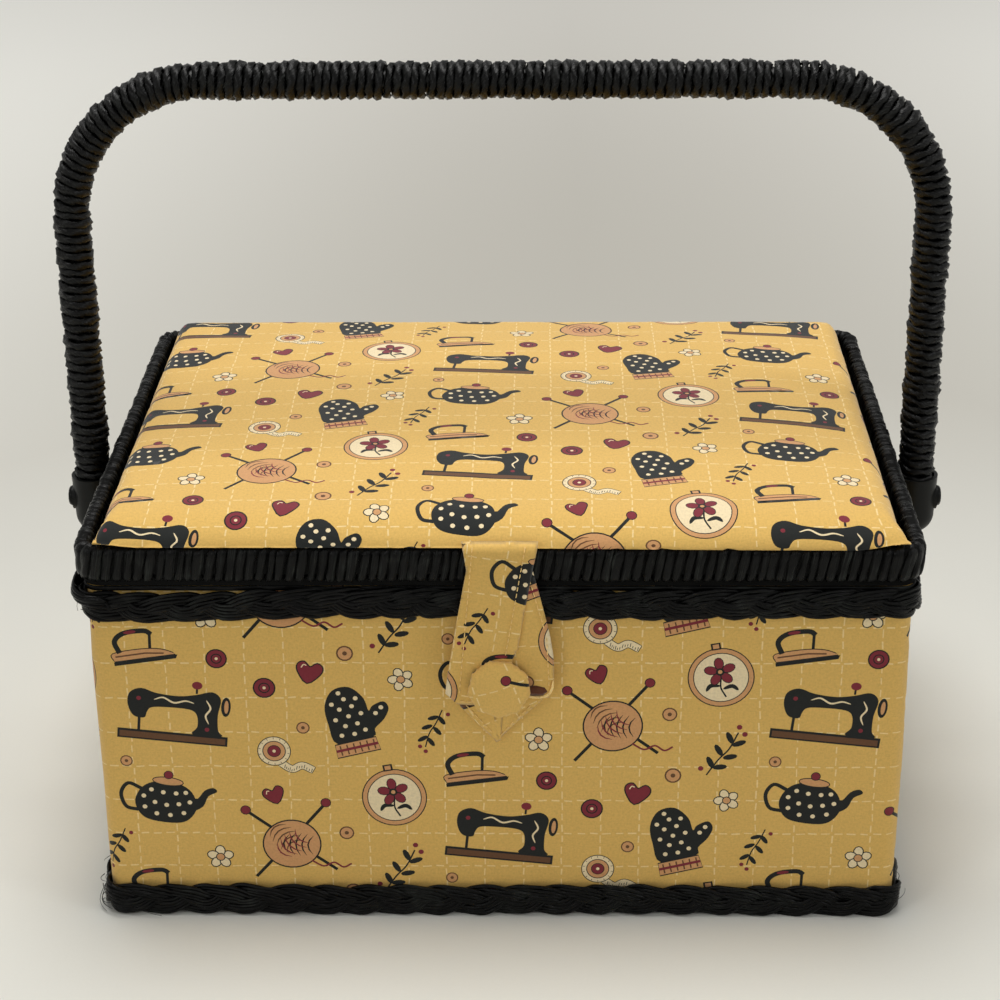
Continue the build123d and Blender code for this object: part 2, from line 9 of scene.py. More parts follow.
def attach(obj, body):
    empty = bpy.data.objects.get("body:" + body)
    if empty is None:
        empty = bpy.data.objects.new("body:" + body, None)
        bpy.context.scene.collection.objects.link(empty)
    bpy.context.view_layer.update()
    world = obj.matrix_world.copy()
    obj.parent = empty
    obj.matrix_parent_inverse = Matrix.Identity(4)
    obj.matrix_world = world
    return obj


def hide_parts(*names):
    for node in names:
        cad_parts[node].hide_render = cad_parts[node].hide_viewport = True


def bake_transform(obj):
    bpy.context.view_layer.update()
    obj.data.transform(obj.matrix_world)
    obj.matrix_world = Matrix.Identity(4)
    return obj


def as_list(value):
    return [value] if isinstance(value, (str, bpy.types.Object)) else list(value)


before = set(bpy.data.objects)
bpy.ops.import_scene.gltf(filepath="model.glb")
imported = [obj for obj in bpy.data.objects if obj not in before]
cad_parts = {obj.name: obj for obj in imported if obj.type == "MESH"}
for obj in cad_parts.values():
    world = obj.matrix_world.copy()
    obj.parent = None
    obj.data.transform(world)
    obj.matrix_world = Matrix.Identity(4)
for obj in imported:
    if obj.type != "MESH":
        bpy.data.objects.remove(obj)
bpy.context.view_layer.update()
scene = bpy.context.scene
MM = 0.001
TAU, QUARTER = 2 * math.pi, math.pi / 2

# ---- sizes, in mm, as in the CAD
CASE_W, CASE_D, CASE_TOP, CASE_R = 292.0, 214.0, 136.5, 5.0
RIM_W, RIM_D, RIM_R, RIM_T, RIM_LOW, RIM_TOP = 300.0, 223.0, 10.0, 6.8, 140.0, 153.3
PAD_X, PAD_FRONT, PAD_BACK, PAD_Z = 140.7, -111.2, 104.2, 160.2
LEG_X, GRIP_Z, BEND_R, WRAP_R, WRAP_LOW = 161.4, 289.5, 52.0, 7.15, 128.0
BUTTON_Z, BUTTON_R, BUTTON_BACK = 98.4, 10.9, -112.4
TAB_BACK, TAB_TILT = -112.6, math.radians(3.23)
FLOOR_Z, FLOOR_X, FLOOR_Y = 4.9, 141.0, 102.0        # the case's inside
LID_UNDER, LID_X, LID_Y = 139.2, 135.8, 97.3         # the lid's lining


# ---- colours and materials
def rgb(r, g, b):
    """A screen colour, 0-255, as the linear colour that the shader takes."""
    return tuple((c / 255 / 12.92) if c < 10.3 else ((c / 255 + 0.055) / 1.055) ** 2.4
                 for c in (r, g, b)) + (1.0,)


def shade(colour, factor):
    return tuple(c * factor for c in colour[:3]) + (1.0,)


class Nodes:
    """A short way to write a node tree. A value given to a socket is set; a node's result is linked."""

    def __init__(self, owner, shader="Principled BSDF"):
        owner.use_nodes = True
        self.owner, self.tree = owner, owner.node_tree
        self.shader = self.tree.nodes[shader]

    def give(self, value, socket):
        if isinstance(value, bpy.types.NodeSocket):
            self.tree.links.new(value, socket)
        else:
            socket.default_value = value

    def add(self, kind, **values):
        node = self.tree.nodes.new("ShaderNode" + kind)
        for key, value in values.items():
            if hasattr(node, key):
                setattr(node, key, value)
            else:
                self.give(value, node.inputs[key.replace("_", " ")])
        return node

    def set(self, **values):
        for key, value in values.items():
            self.give(value, self.shader.inputs[key.replace("_", " ")])

    def scaled(self, vector, scale):
        return self.add("Mapping", Vector=vector, Scale=scale).outputs["Vector"]

    def coords(self, which, scale=(1, 1, 1)):
        return self.scaled(self.add("TexCoord").outputs[which], scale)

    def noise(self, vector, scale=1.0, detail=3.0, rough=0.55):
        return self.add("TexNoise", Vector=vector, Scale=scale, Detail=detail,
                        Roughness=rough).outputs["Fac"]

    def math(self, operation, a, b):
        node = self.add("Math", operation=operation)
        for socket, value in zip(node.inputs, (a, b)):
            self.give(value, socket)
        return node.outputs[0]

    def weigh(self, a, part, b, rest):
        return self.math("ADD", self.math("MULTIPLY", a, part), self.math("MULTIPLY", b, rest))

    def remap(self, value, low, high, to_low=0.0, to_high=1.0, way="LINEAR"):
        return self.add("MapRange", interpolation_type=way, Value=value, From_Min=low, From_Max=high,
                        To_Min=to_low, To_Max=to_high).outputs["Result"]

    def ramp(self, fac, *stops):
        node = self.add("ValToRGB", Fac=fac)
        ramp = node.color_ramp
        while len(ramp.elements) < len(stops):
            ramp.elements.new(0.5)
        for element, (position, colour) in zip(ramp.elements, stops):
            element.position, element.color = position, colour
        return node.outputs["Color"]

    def bump(self, height, strength, distance):
        self.set(Normal=self.add("Bump", Strength=strength, Distance=distance,
                                 Height=height).outputs["Normal"])

    def seen(self):
        """1 for rays of the camera, of reflections and through glass, 0 for the others."""
        ray = self.add("LightPath").outputs
        return self.math("MAXIMUM", ray["Is Camera Ray"],
                         self.math("MAXIMUM", ray["Is Glossy Ray"], ray["Is Transmission Ray"]))


def material(name):
    return Nodes(bpy.data.materials.new(name))


def woven(name, colour, contrast=0.10, weave=0.36):
    """Plain-woven cotton: warp and weft threads, slubs and a soft drift of colour, along the UVs."""
    n = material(name)
    n.set(Roughness=0.82, Sheen_Weight=0.25, Sheen_Roughness=0.5, Specular_IOR_Level=0.25)
    uv = n.coords("UV")
    threads = [n.add("TexWave", wave_type="BANDS", bands_direction=direction, Vector=uv,
                     Scale=math.pi / (10 * weave * MM), Distortion=1.2, Detail=1.0,
                     Detail_Scale=1.5).outputs["Fac"] for direction in "XY"]
    slubs = [n.noise(n.coords("UV", scale), 1.0, 2.0) for scale in ((420, 2300, 1), (2300, 420, 1))]
    grain = n.weigh(n.math("MULTIPLY", *threads), 0.30,
                    n.math("MULTIPLY", n.math("ADD", *slubs), 0.5), 0.70)
    tone = n.weigh(grain, 0.55, n.noise(uv, 1100.0, 2.0, 0.6), 0.45)
    n.set(Base_Color=n.ramp(tone, (0.28, shade(colour, 1 - contrast * 1.6)), (0.46, colour),
                            (0.64, shade(colour, 1 + contrast))))
    n.bump(grain, 0.35, 0.00025)
    return n.owner


def fibrous(name, dark, light, rough, along=34.0, across=2600.0, bump=1.0, depth=0.0005, twist=0.0,
            gloss=0.25):
    """Paper cord or ribbon: fine fibres that run along the strand's UVs, or wind round it, the palest of
    them brightened into painted glints.
    """
    n = material(name)
    n.set(Specular_IOR_Level=gloss)

    def fibres(share_along, share_across):
        turned = n.add("Mapping", Vector=n.add("TexCoord").outputs["UV"], Rotation=(0, 0, twist))
        return n.scaled(turned.outputs["Vector"], (along * share_along, across * share_across, 1))

    fine = n.noise(fibres(1, 1), 1.0, 4.0, 0.62)
    broad = n.noise(fibres(0.4, 0.35), 1.0, 2.0)
    spots = n.noise(n.coords("Object"), 160.0, 2.0)
    mixed = n.weigh(fine, 0.6, broad, 0.4)
    # The ramp's upper stops are pale fibres (the light colour) and, at the top, painted glints (twice the
    # light colour).
    n.set(Base_Color=n.ramp(n.weigh(mixed, 0.75, spots, 0.25), (0.36, dark), (0.53, shade(dark, 1.7)),
                            (0.62, light), (0.70, shade(light, 2.0))),
          Roughness=n.remap(broad, 0.38, 0.62, *rough))
    n.bump(mixed, bump, depth)
    return n.owner


def moulded(name, dark, light, rough=(0.35, 0.5), grain=900.0, depth=0.00006, metallic=0.0,
            streak=(1, 1, 1), wear=None, strength=0.35, gloss=0.5):
    """Moulded, painted or plated surfaces: fine grain, smears in the gloss and worn light spots."""
    n = material(name)
    where = n.coords("Object", streak)
    fine, broad = n.noise(where, grain), n.noise(where, grain * 0.06)
    stops = [(0.35, dark), (0.65, light)] + ([(0.78, wear)] if wear else [])
    n.set(Metallic=metallic, Specular_IOR_Level=gloss,
          Base_Color=n.ramp(n.weigh(broad, 0.7, fine, 0.3), *stops),
          Roughness=n.remap(broad, 0.35, 0.65, *rough))
    n.bump(fine, strength, depth)
    return n.owner


INK = {
    "ground": rgb(226, 184, 100),
    "cream": rgb(242, 222, 180),
    "dash": rgb(243, 214, 152),
    "black": rgb(23, 26, 24),
    "maroon": rgb(128, 40, 52),
    "tan": rgb(212, 158, 106),
    "brown": rgb(104, 70, 44),
}
PRINT = list(INK)
printed_mats = [woven("print_" + key, INK[key], contrast=0.20 if key == "black" else 0.10)
                for key in PRINT]
cord_mat = fibrous("paper_cord_black", rgb(2, 2, 2), rgb(44, 47, 44), (0.12, 0.46), gloss=0.16)
handle_mat = fibrous("paper_twist_black", rgb(1, 1, 1), rgb(24, 26, 24), (0.10, 0.36), 260.0, 1700.0,
                     depth=0.0006, twist=0.7, gloss=0.22)
plait_mat = fibrous("paper_plait_black", rgb(1, 1, 1), rgb(40, 43, 40), (0.09, 0.36), 40.0, 2400.0,
                    gloss=0.15)
# Near-black, darker than the black plastic: partly the frame's black paint, partly painted shade in the
# recess under the rim.
frame_mat = moulded("black_wood", rgb(2, 2, 2), rgb(7, 7, 6), (0.6, 0.8), grain=700,
                    streak=(0.25, 1, 1), gloss=0.1)
cap_mat = moulded("black_plastic", rgb(7, 8, 7), rgb(13, 14, 12), (0.36, 0.5), grain=1300, gloss=0.2)
rivet_mat = moulded("black_steel", rgb(12, 12, 11), rgb(26, 26, 25), (0.25, 0.42), metallic=0.6,
                    wear=rgb(96, 94, 90), gloss=0.25)
tube_mat = moulded("black_tube", rgb(16, 16, 15), rgb(30, 30, 29), metallic=0.3)
steel_mat = moulded("hinge_steel", rgb(168, 160, 140), rgb(204, 196, 174), (0.25, 0.45),
                    metallic=1.0, grain=1600, streak=(0.3, 1, 1), wear=rgb(220, 214, 200))
bright_mat = moulded("bright_steel", rgb(178, 178, 176), rgb(212, 212, 210), (0.18, 0.35),
                     metallic=1.0, grain=1600)
# Dark grey board: partly the board's own colour, partly painted shade where the lid's board shows in the
# gap beside the pad.
board_mat = moulded("grey_board", rgb(58, 54, 48), rgb(76, 72, 64), (0.8, 0.95), grain=500,
                    depth=0.0002, streak=(1, 1, 0.3))
felt_mat = moulded("base_felt", rgb(24, 24, 23), rgb(42, 42, 40), (0.9, 1.0), grain=1500,
                   depth=0.0004, strength=0.9)
tray_mat = moulded("tray_plastic", rgb(238, 236, 231), rgb(242, 240, 235), (0.28, 0.42),
                   grain=1200, depth=0.00004)
lining_mat = woven("lining_cotton", rgb(233, 214, 170), contrast=0.07, weave=0.42)
pincushion_mat = woven("pincushion_cotton", rgb(150, 44, 54), contrast=0.14, weave=0.42)
# Dark brown cloth for the tab's opening: painted shade inside the loop.
opening_shade_mat = woven("tab_mouth_painted_shade", rgb(96, 52, 30), contrast=0.12)
thread_mat = fibrous("stitch_thread", rgb(214, 184, 122), rgb(246, 226, 178), (0.6, 0.8), 900.0, 900.0,
                     bump=0.55, depth=0.0003)


# ---- meshes
def piece(name, verts, faces, mats, index=None, uv=None, body=None, slot=None, stands_for=()):
    """A mesh object from points in mm. uv is one pair per face corner, in metres."""
    mesh = bpy.data.meshes.new(name)
    mesh.from_pydata((np.asarray(verts, float) * MM).tolist(), [], [list(map(int, f)) for f in faces])
    for mat in mats:
        mesh.materials.append(mat)
    if index is not None:
        mesh.polygons.foreach_set("material_index", np.asarray(index, np.int32))
    if uv is not None:
        layer = mesh.uv_layers.new(name="UVMap")
        layer.data.foreach_set("uv", np.asarray(uv, np.float32).ravel())
    mesh.polygons.foreach_set("use_smooth", np.ones(len(mesh.polygons), bool))
    mesh.update()
    obj = bpy.data.objects.new(name, mesh)
    scene.collection.objects.link(obj)
    if body:
        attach(obj, body)
    if stands_for:
        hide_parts(*stands_for)
    return obj


def plain_piece(name, mesh, mat, body=None, slot=None, *nodes):
    """A piece with one finish, from verts, faces and UVs."""
    verts, faces, uvs = mesh
    return piece(name, verts, faces, [mat], None, uvs, body, slot, nodes)


def swept(centres, across, outward, section, closed=False):
    """A strand: a section of (across, outward) pairs carried along a line. Gives verts, faces and UVs."""
    centres, across, outward, section = (np.asarray(a, float) for a in (centres, across, outward, section))
    if section.ndim == 2:
        section = np.broadcast_to(section, (len(centres),) + section.shape)
    verts = centres[:, None] + section[..., :1] * across[:, None] + section[..., 1:] * outward[:, None]
    n, m = verts.shape[:2]
    i, j = np.arange(n if closed else n - 1)[:, None], np.arange(m)[None, :]
    a, b = i * m, ((i + 1) % n) * m
    quads = np.stack(np.broadcast_arrays(a + j, a + (j + 1) % m, b + (j + 1) % m, b + j), -1)
    step = np.linalg.norm(np.diff(centres, axis=0, append=centres[:1] if closed else centres[-1:]),
                          axis=1)
    ring = np.linalg.norm(np.diff(section[0], axis=0, append=section[0][:1]), axis=1)
    length, girth = (np.concatenate([[0], np.cumsum(steps)]) for steps in (step, ring))
    u0, u1 = length[i] + 0 * j, length[i + 1] + 0 * j
    v0, v1 = girth[j] + 0 * i, girth[j + 1] + 0 * i
    uvs = np.stack([np.stack(pair, -1) for pair in ((u0, v0), (u0, v1), (u1, v1), (u1, v0))], -2) * MM
    faces, uvs = quads.reshape(-1, 4).tolist(), uvs.reshape(-1, 2)
    if not closed:
        faces += [list(range(m))[::-1], [(n - 1) * m + k for k in range(m)]]
        uvs = np.concatenate([uvs, np.zeros((2 * m, 2))])
    return verts.reshape(-1, 3), faces, uvs


def joined(parts):
    """Several (verts, faces, uvs) as one."""
    verts, faces, uvs, base = [], [], [], 0
    for v, f, uv in parts:
        verts.append(v)
        faces += [[k + base for k in face] for face in f]
        uvs.append(uv)
        base += len(v)
    return np.concatenate(verts), faces, np.concatenate(uvs)


def unit(v):
    return v / np.maximum(np.linalg.norm(v, axis=-1, keepdims=True), 1e-9)


def circle(sides):
    return np.linspace(0, TAU, sides + 1)[:-1]


def spoke(r, degrees, x=0.0, y=0.0):
    """The point at a distance and angle from another."""
    t = math.radians(degrees)
    return x + r * math.cos(t), y + r * math.sin(t)


def sections(angles, across, outward):
    """Round sections, from half widths that may differ at each point and angle."""
    return np.stack([np.cos(angles) * across, np.sin(angles) * outward], -1)


def round_cord(centres, across, outward, radii, sides):
    radii = np.asarray(radii)[:, None]
    return swept(centres, across, outward, sections(circle(sides), radii, radii))


def flat_cord(centres, out, radii, sides):
    """A round cord that lies along the case's wall, out being the wall's outward direction."""
    outward = np.column_stack([out, np.zeros(len(out))])
    along = unit(np.gradient(centres, axis=0))
    return round_cord(centres, np.cross(outward, along), outward, radii, sides)


def around(width, depth, corner):
    """A rounded rectangle, counter-clockwise from the middle of the back: s -> (point, outward)."""
    a, b = width / 2 - corner, depth / 2 - corner
    middle = [(0.0, depth / 2, 0.0, 1.0)]
    bends = [spoke(corner, start + 5 * k, x, y) + spoke(1, start + 5 * k) for x, y, start in (
        (-a, b, 90), (-a, -b, 180), (a, -b, 270), (a, b, 0)) for k in range(19)]
    rows = np.array(middle + bends + middle)
    s = np.concatenate([[0], np.cumsum(np.linalg.norm(np.diff(rows[:, :2], axis=0), axis=1))])

    def at(where):
        where = np.mod(where, s[-1])
        x, y, out_x, out_y = (np.interp(where, s, column) for column in rows.T)
        return np.stack([x, y], -1), unit(np.stack([out_x, out_y], -1))
    return at, s[-1]


# ---- the print: its motifs
def divided(points, reach):
    """A closed outline with its long edges divided, so that it can bend."""
    out = []
    for a, b in zip(points, list(points[1:]) + [points[0]]):
        n = max(1, math.ceil(math.dist(a, b) / reach))
        out += [(a[0] + (b[0] - a[0]) * k / n, a[1] + (b[1] - a[1]) * k / n) for k in range(n)]
    return out


def oval(x, y, r, ry=None, n=20, turn=0.0):
    ry = r if ry is None else ry
    c, s = math.cos(math.radians(turn)), math.sin(math.radians(turn))
    out = []
    for k in range(n):
        t = math.radians(360 * k / n)
        px, py = r * math.cos(t), ry * math.sin(t)
        out.append((x + px * c - py * s, y + px * s + py * c))
    return out


def curve(points, closed=False, n=5):
    """A smooth line through points (Catmull-Rom)."""
    p = [Vector(q) for q in points]
    count = len(p)
    out = []
    for i in range(count if closed else count - 1):
        if closed:
            a, b, c, d = (p[(i + k - 1) % count] for k in range(4))
        else:
            b, c = p[i], p[i + 1]
            a = p[i - 1] if i else b + (b - c)
            d = p[i + 2] if i + 2 < count else c + (c - b)
        for k in range(n):
            t = k / n
            q = 0.5 * (2 * b + (c - a) * t + (2 * a - 5 * b + 4 * c - d) * t * t
                       + (3 * b - a - 3 * c + d) * t ** 3)
            out.append((q.x, q.y))
    if not closed:
        out.append(tuple(p[-1]))
    return out


def line(points, width, ends=None):
    """An inked line: points widened into a shape, tapering to the ends' widths."""
    p = [Vector(q) for q in points]
    left, right = [], []
    for i, q in enumerate(p):
        d = (p[min(i + 1, len(p) - 1)] - p[max(i - 1, 0)]).normalized()
        side = Vector((-d.y, d.x))
        w = width / 2
        if ends:
            w *= ends + (1 - ends) * math.sin(math.pi * (i / (len(p) - 1))) ** 0.5
        left.append(tuple(q + side * w))
        right.append(tuple(q - side * w))
    return left + right[::-1]


def shoelace(p):
    return 0.5 * np.sum(p[:, 0] * np.roll(p[:, 1], -1) - p[:, 1] * np.roll(p[:, 0], -1))


def grown(shape, by):
    """A shape's outline moved out, for a dark edge line."""
    p = np.array(shape)
    d = unit(np.roll(p, -1, 0) - np.roll(p, 1, 0))
    side = np.stack([d[:, 1], -d[:, 0]], -1) * (1 if shoelace(p) > 0 else -1)
    return [tuple(q) for q in p + side * by]


def edged(ink, shape, by=0.55):
    return [("black", grown(shape, by)), (ink, shape)]


def dots(ink, r, places):
    return [(ink, oval(x, y, r, n=8)) for x, y in places]


def rings(*rows):
    return [(ink, oval(0, 0, r, n=n)) for ink, r, n in rows]


def yarn_ball():
    out = []
    for sign in (1, -1):
        out.append(("black", line([(-19 * sign, -17), (0, 1), (18 * sign, 18.5)], 1.5)))
        out += edged("maroon", oval(18.6 * sign, 19.2, 2.1, n=12), 0.4)
    out += edged("tan", oval(0, -1, 13.0, 12.4, n=32), 0.7)
    for turn, shift, ink in ((35, -4.4, "brown"), (80, 4.6, "black"), (125, 1.0, "maroon")):
        c, s = math.cos(math.radians(turn)), math.sin(math.radians(turn))
        for k in (-7, -3.5, 0, 3.5, 7):
            half = math.sqrt(max(12.2 ** 2 - k * k, 1)) * 0.62
            pts = []
            for t in (-1, -0.5, 0, 0.5, 1):
                a, b = half * t * 0.8, k * 0.8 + 2.4 * (1 - t * t)
                pts.append((shift * s * 0.9 + a * c - b * s, -1 - shift * c * 0.9 + a * s + b * c))
            out.append((ink, line(pts, 0.75, 0.2)))
    out.append(("maroon", line(curve([(8, -11), (13, -14.5), (18, -13), (22, -16), (26, -14.5)]), 0.9)))
    return out


def machine():
    body = curve([(-21, 4), (-20, 9), (-15, 11.5), (-8, 9.6), (2, 9), (10, 10.5), (17, 12.5), (21, 9),
                  (20, 1), (20.5, -7), (22, -10), (9, -10), (11, -6), (10.5, 0), (7, 2.6), (-3, 2.8),
                  (-10, 2), (-12, -0.5), (-13, -3.5), (-17, -3.5), (-19.5, -1)], True, 4)
    out = [("black", body), ("black", [(-25, -15), (25, -15), (25, -10), (-25, -10)]),
           ("brown", [(-24, -14.2), (24, -14.2), (24, -11.2), (-24, -11.2)]),
           ("black", line([(-15.4, -3), (-15.4, -10)], 1.3)),
           ("black", oval(23.4, 5.5, 2.2, 5.0, n=16)), ("tan", oval(23.6, 5.5, 1.0, 3.4, n=12)),
           ("black", line([(10, 11), (10, 15)], 1.0)), ("maroon", oval(10, 15.2, 2.4, 2.0, n=12)),
           ("cream", line(curve([(-9, 6.2), (-5, 7.6), (0, 5.4), (5, 6.8), (9, 6.0)]), 0.9, 0.3)),
           ("cream", line(curve([(14.5, 8), (16.5, 4), (14.5, 0), (16, -4)]), 0.9, 0.3))]
    return out + dots("maroon", 1.1, [(-16, 6.2), (15.4, -7.0)])


def hoop():
    out = rings(("black", 17.6, 40), ("tan", 17.0, 40), ("black", 14.7, 36), ("cream", 14.2, 36))
    out += [("black", [(-2.6, 16.6), (2.6, 16.6), (2.6, 20.6), (-2.6, 20.6)]),
            ("tan", [(-1.6, 17.4), (1.6, 17.4), (1.6, 19.8), (-1.6, 19.8)]),
            ("black", line(curve([(1, -12), (-1, -6), (0, 0)]), 0.9)),
            ("black", line(curve([(0, -7), (5, -6), (8, -9)]), 2.4, 0.1)),
            ("black", line(curve([(-1, -5), (-6, -4), (-9, -7)]), 2.4, 0.1))]
    for turn in range(90, 450, 72):
        out += edged("maroon", oval(*spoke(5.0, turn, 0, 3.4), 3.3, 2.3, 12, turn), 0.4)
    return out + [("black", oval(0, 3.4, 2.3, n=12))] + dots("tan", 1.2, [(0, 3.4)])


def mitten():
    hand = curve([(-9, -9), (-10.5, 2), (-9.5, 12), (-4, 19), (4, 19), (9, 12), (9.6, 5), (12, 7),
                  (17.5, 8), (19, 4), (15.5, -1), (10, -5), (8, -9)], True, 4)
    out = [("black", hand)]
    out += dots("cream", 1.15, [(-6, -5), (0, -5.5), (5.5, -4.5), (-3, -0.5), (2.8, -0.4), (-6.6, 3.6),
                                (-0.2, 4.2), (5.8, 4.4), (-3.4, 8.6), (2.6, 9), (-6.2, 12),
                                (0, 13.4), (5.4, 12.6), (-1.6, 17), (12.4, 2.8), (15.6, 5.2)])
    out += edged("tan", [(-10.4, -9.5), (9, -9.5), (9.6, -16), (-11, -16)], 0.6)
    for k in range(6):
        x = -8.4 + 3.2 * k
        out.append(("brown", line([(x, -10.2), (x - 0.15, -15.4)], 0.7)))
    return out + [("maroon", [(-10.8, -12.0), (9.3, -12.0), (9.4, -13.4), (-10.9, -13.4)])]


def teapot():
    body = curve([(-12, -9), (-15, -2), (-12, 6), (-5, 10), (5, 10), (12, 6), (15, -2), (12, -9), (6, -12),
                  (-6, -12)], True, 4)
    spout = curve([(13, -4), (18, -1), (20, 5), (24, 8), (22, 10), (18, 8), (15, 3), (12, 3)], True, 3)
    out = [("black", line(curve([(-12.5, 5), (-19, 7), (-22, 1), (-19, -6), (-13, -7)]), 1.9)),
           ("black", spout), ("black", body)]
    out += dots("cream", 1.2, [(-10, -5), (-4, -8), (2.6, -8), (9, -6), (-11, 1), (-5.4, -1.8), (0.4, -2.6),
                               (6.2, -1.4), (11.4, 0.4), (-7.6, 5), (-1.8, 4.2), (4.4, 4.4), (9, 5.4)])
    out += edged("tan", oval(0, 10.6, 7.2, 2.0, n=18), 0.5)
    return out + edged("maroon", oval(0, 14.2, 2.0, n=12), 0.4)


def iron():
    sole = curve([(-17, -8), (-17, -3), (0, -2.2), (12, -4), (20, -8)], False, 4)
    return [("black", grown(sole, 0.6)),
            ("black", [(-17.6, -8.6), (21, -8.6), (19.6, -11), (-17.6, -11)]),
            ("tan", sole), ("brown", line([(-16, -5.2), (2, -5.0), (13, -6.6)], 1.0)),
            ("black", line(curve([(-13, -3), (-14.5, 5), (-8, 9.6), (4, 9.6), (8, 6.6)]), 3.2)),
            ("black", line([(7, 6.8), (5.4, -2.6)], 1.8)),
            ("maroon", oval(-4.5, 9.8, 3.8, 1.1, n=12))]


def tape():
    out = edged("cream", line(curve([(6, -8), (14, -11), (20, -7), (28, -9)]), 5.0), 0.5)
    for k, (x, y) in enumerate(curve([(9, -9.4), (14, -11), (20, -7), (27, -8.9)], n=4)):
        out.append(("black", line([(x, y - 1.9), (x, y - (0.2 if k % 3 else -0.9))], 0.45)))
    out += rings(("black", 11.2, 28), ("cream", 10.6, 28), ("black", 7.8, 22), ("tan", 7.2, 22),
                 ("black", 4.6, 16), ("maroon", 4.1, 16), ("cream", 1.2, 8))
    return out + [("brown", line([spoke(r, 360 * k / 14) for r in (9.0, 10.4)], 0.4)) for k in range(14)]


def sprig():
    out = [("black", line(curve([(-11, -8), (-3, -2), (4, 2), (11, 9)]), 0.8))]
    for x, y, turn in ((-7, -2, 95), (-3.5, -6, -15), (-1, 3, 100), (3, -2.4, -10), (6.2, 7.6, 95),
                       (9.4, 3.2, 0)):
        out.append(("black", oval(x, y, 3.6, 1.5, n=10, turn=turn)))
    return out + dots("maroon", 1.4, [(-12.4, -3.6), (12.4, 11.6), (13.6, 7)])


def heart():
    shape = curve([(0, -5.4), (4.6, -0.6), (5.2, 2.8), (2.8, 4.4), (0, 2.2), (-2.8, 4.4), (-5.2, 2.8),
                   (-4.6, -0.6)], True, 3)
    return edged("maroon", shape, 0.6) + [
        ("cream", line(curve([(-3.6, 1.4), (-2.9, 3.0), (-1.6, 2.8)]), 0.5))]


def flower():
    out = []
    for turn in range(18, 378, 72):
        out += edged("cream", oval(*spoke(2.9, turn), 2.2, 1.7, 10, turn), 0.45)
    return out + edged("tan", oval(0, 0, 1.5, n=10), 0.4)


def bead():
    return rings(("brown", 3.1, 14), ("tan", 2.5, 14), ("brown", 0.9, 8))


def ring():
    return rings(("black", 4.6, 18), ("maroon", 4.0, 18), ("black", 2.4, 14), ("maroon", 1.9, 12),
                 ("cream", 0.7, 8))


# One tile of the print: motif, middle, turn in degrees and size. The next column is half a tile lower.
TILE_W, TILE_H = 118.0, 100.0
LAYOUT = [
    (machine, 17.0, 28.9, -6, 0.80), (yarn_ball, 57.4, 74.5, 6, 0.80), (mitten, 81.1, 24.4, 14, 0.78),
    (teapot, 12.0, 92.3, -8, 0.76), (hoop, 95.9, 93.6, 10, 0.68), (iron, 6.7, 56.1, 8, 0.60),
    (tape, 52.6, 13.1, -12, 0.55), (sprig, 97.4, 61.9, 20, 0.75), (sprig, 110.7, 22.8, -150, 0.6),
    (heart, 66.6, 45.7, -12, 0.85), (flower, 30.7, 68.0, 0, 0.95), (bead, 79.6, 53.2, 0, 1.0),
    (ring, 50.2, 39.2, 0, 0.9), (heart, 51.7, 94.7, 18, 0.7), (flower, 99.4, 42.7, 20, 0.9),
    (bead, 77.9, 78.5, 0, 0.9), (ring, 33.6, 51.0, 0, 0.85), (bead, 63.5, 22.8, 0, 0.8),
    (bead, 116.5, 59.0, 0, 0.75),
]
MOTIF_REACH = 30


def motif_shapes():
    """Every shape of one tile, in the tile's own mm, with the middle and reach of its motif."""
    out = []
    for make, x, y, turn, size in LAYOUT:
        c, s = math.cos(math.radians(turn)) * size, math.sin(math.radians(turn)) * size
        out.append((x, y, MOTIF_REACH * size, [
            (PRINT.index(ink), np.array([(x + a * c - b * s, y + a * s + b * c) for a, b in shape]))
            for ink, shape in make()]))
    return out


MOTIFS = motif_shapes()


def steps(low, high, pitch, before, after):
    """The whole numbers whose multiples of a pitch cover a stretch."""
    return range(int(math.floor(low / pitch)) - before, int(math.ceil(high / pitch)) + after)


def dash_grid(low, high, seed):
    """The print's cream chequer of dashes, three to a side. Each dash wavers by its own place."""
    out = []
    cell, pitch, dash = 14.2, 14.2 / 3, 3.1
    for axis in (0, 1):
        for j in steps(low[1 - axis], high[1 - axis], cell, 0, 1):
            for i in steps(low[axis], high[axis], pitch, 1, 1):
                r = random.Random(seed * 1000003 + axis * 500009 + i * 1009 + j)
                a, b = i * pitch + pitch / 2 + r.uniform(-0.2, 0.2), j * cell + r.uniform(-0.18, 0.18)
                tilt = r.uniform(-0.12, 0.12)
                half, w = dash / 2 * r.uniform(0.85, 1.1), 0.26 * r.uniform(0.75, 1.15)
                quad = [(a - half, b - w - tilt), (a + half, b - w + tilt), (a + half, b + w + tilt),
                        (a - half, b + w - tilt)]
                out.append(np.array([(q[axis], q[1 - axis]) for q in quad]))
    return out


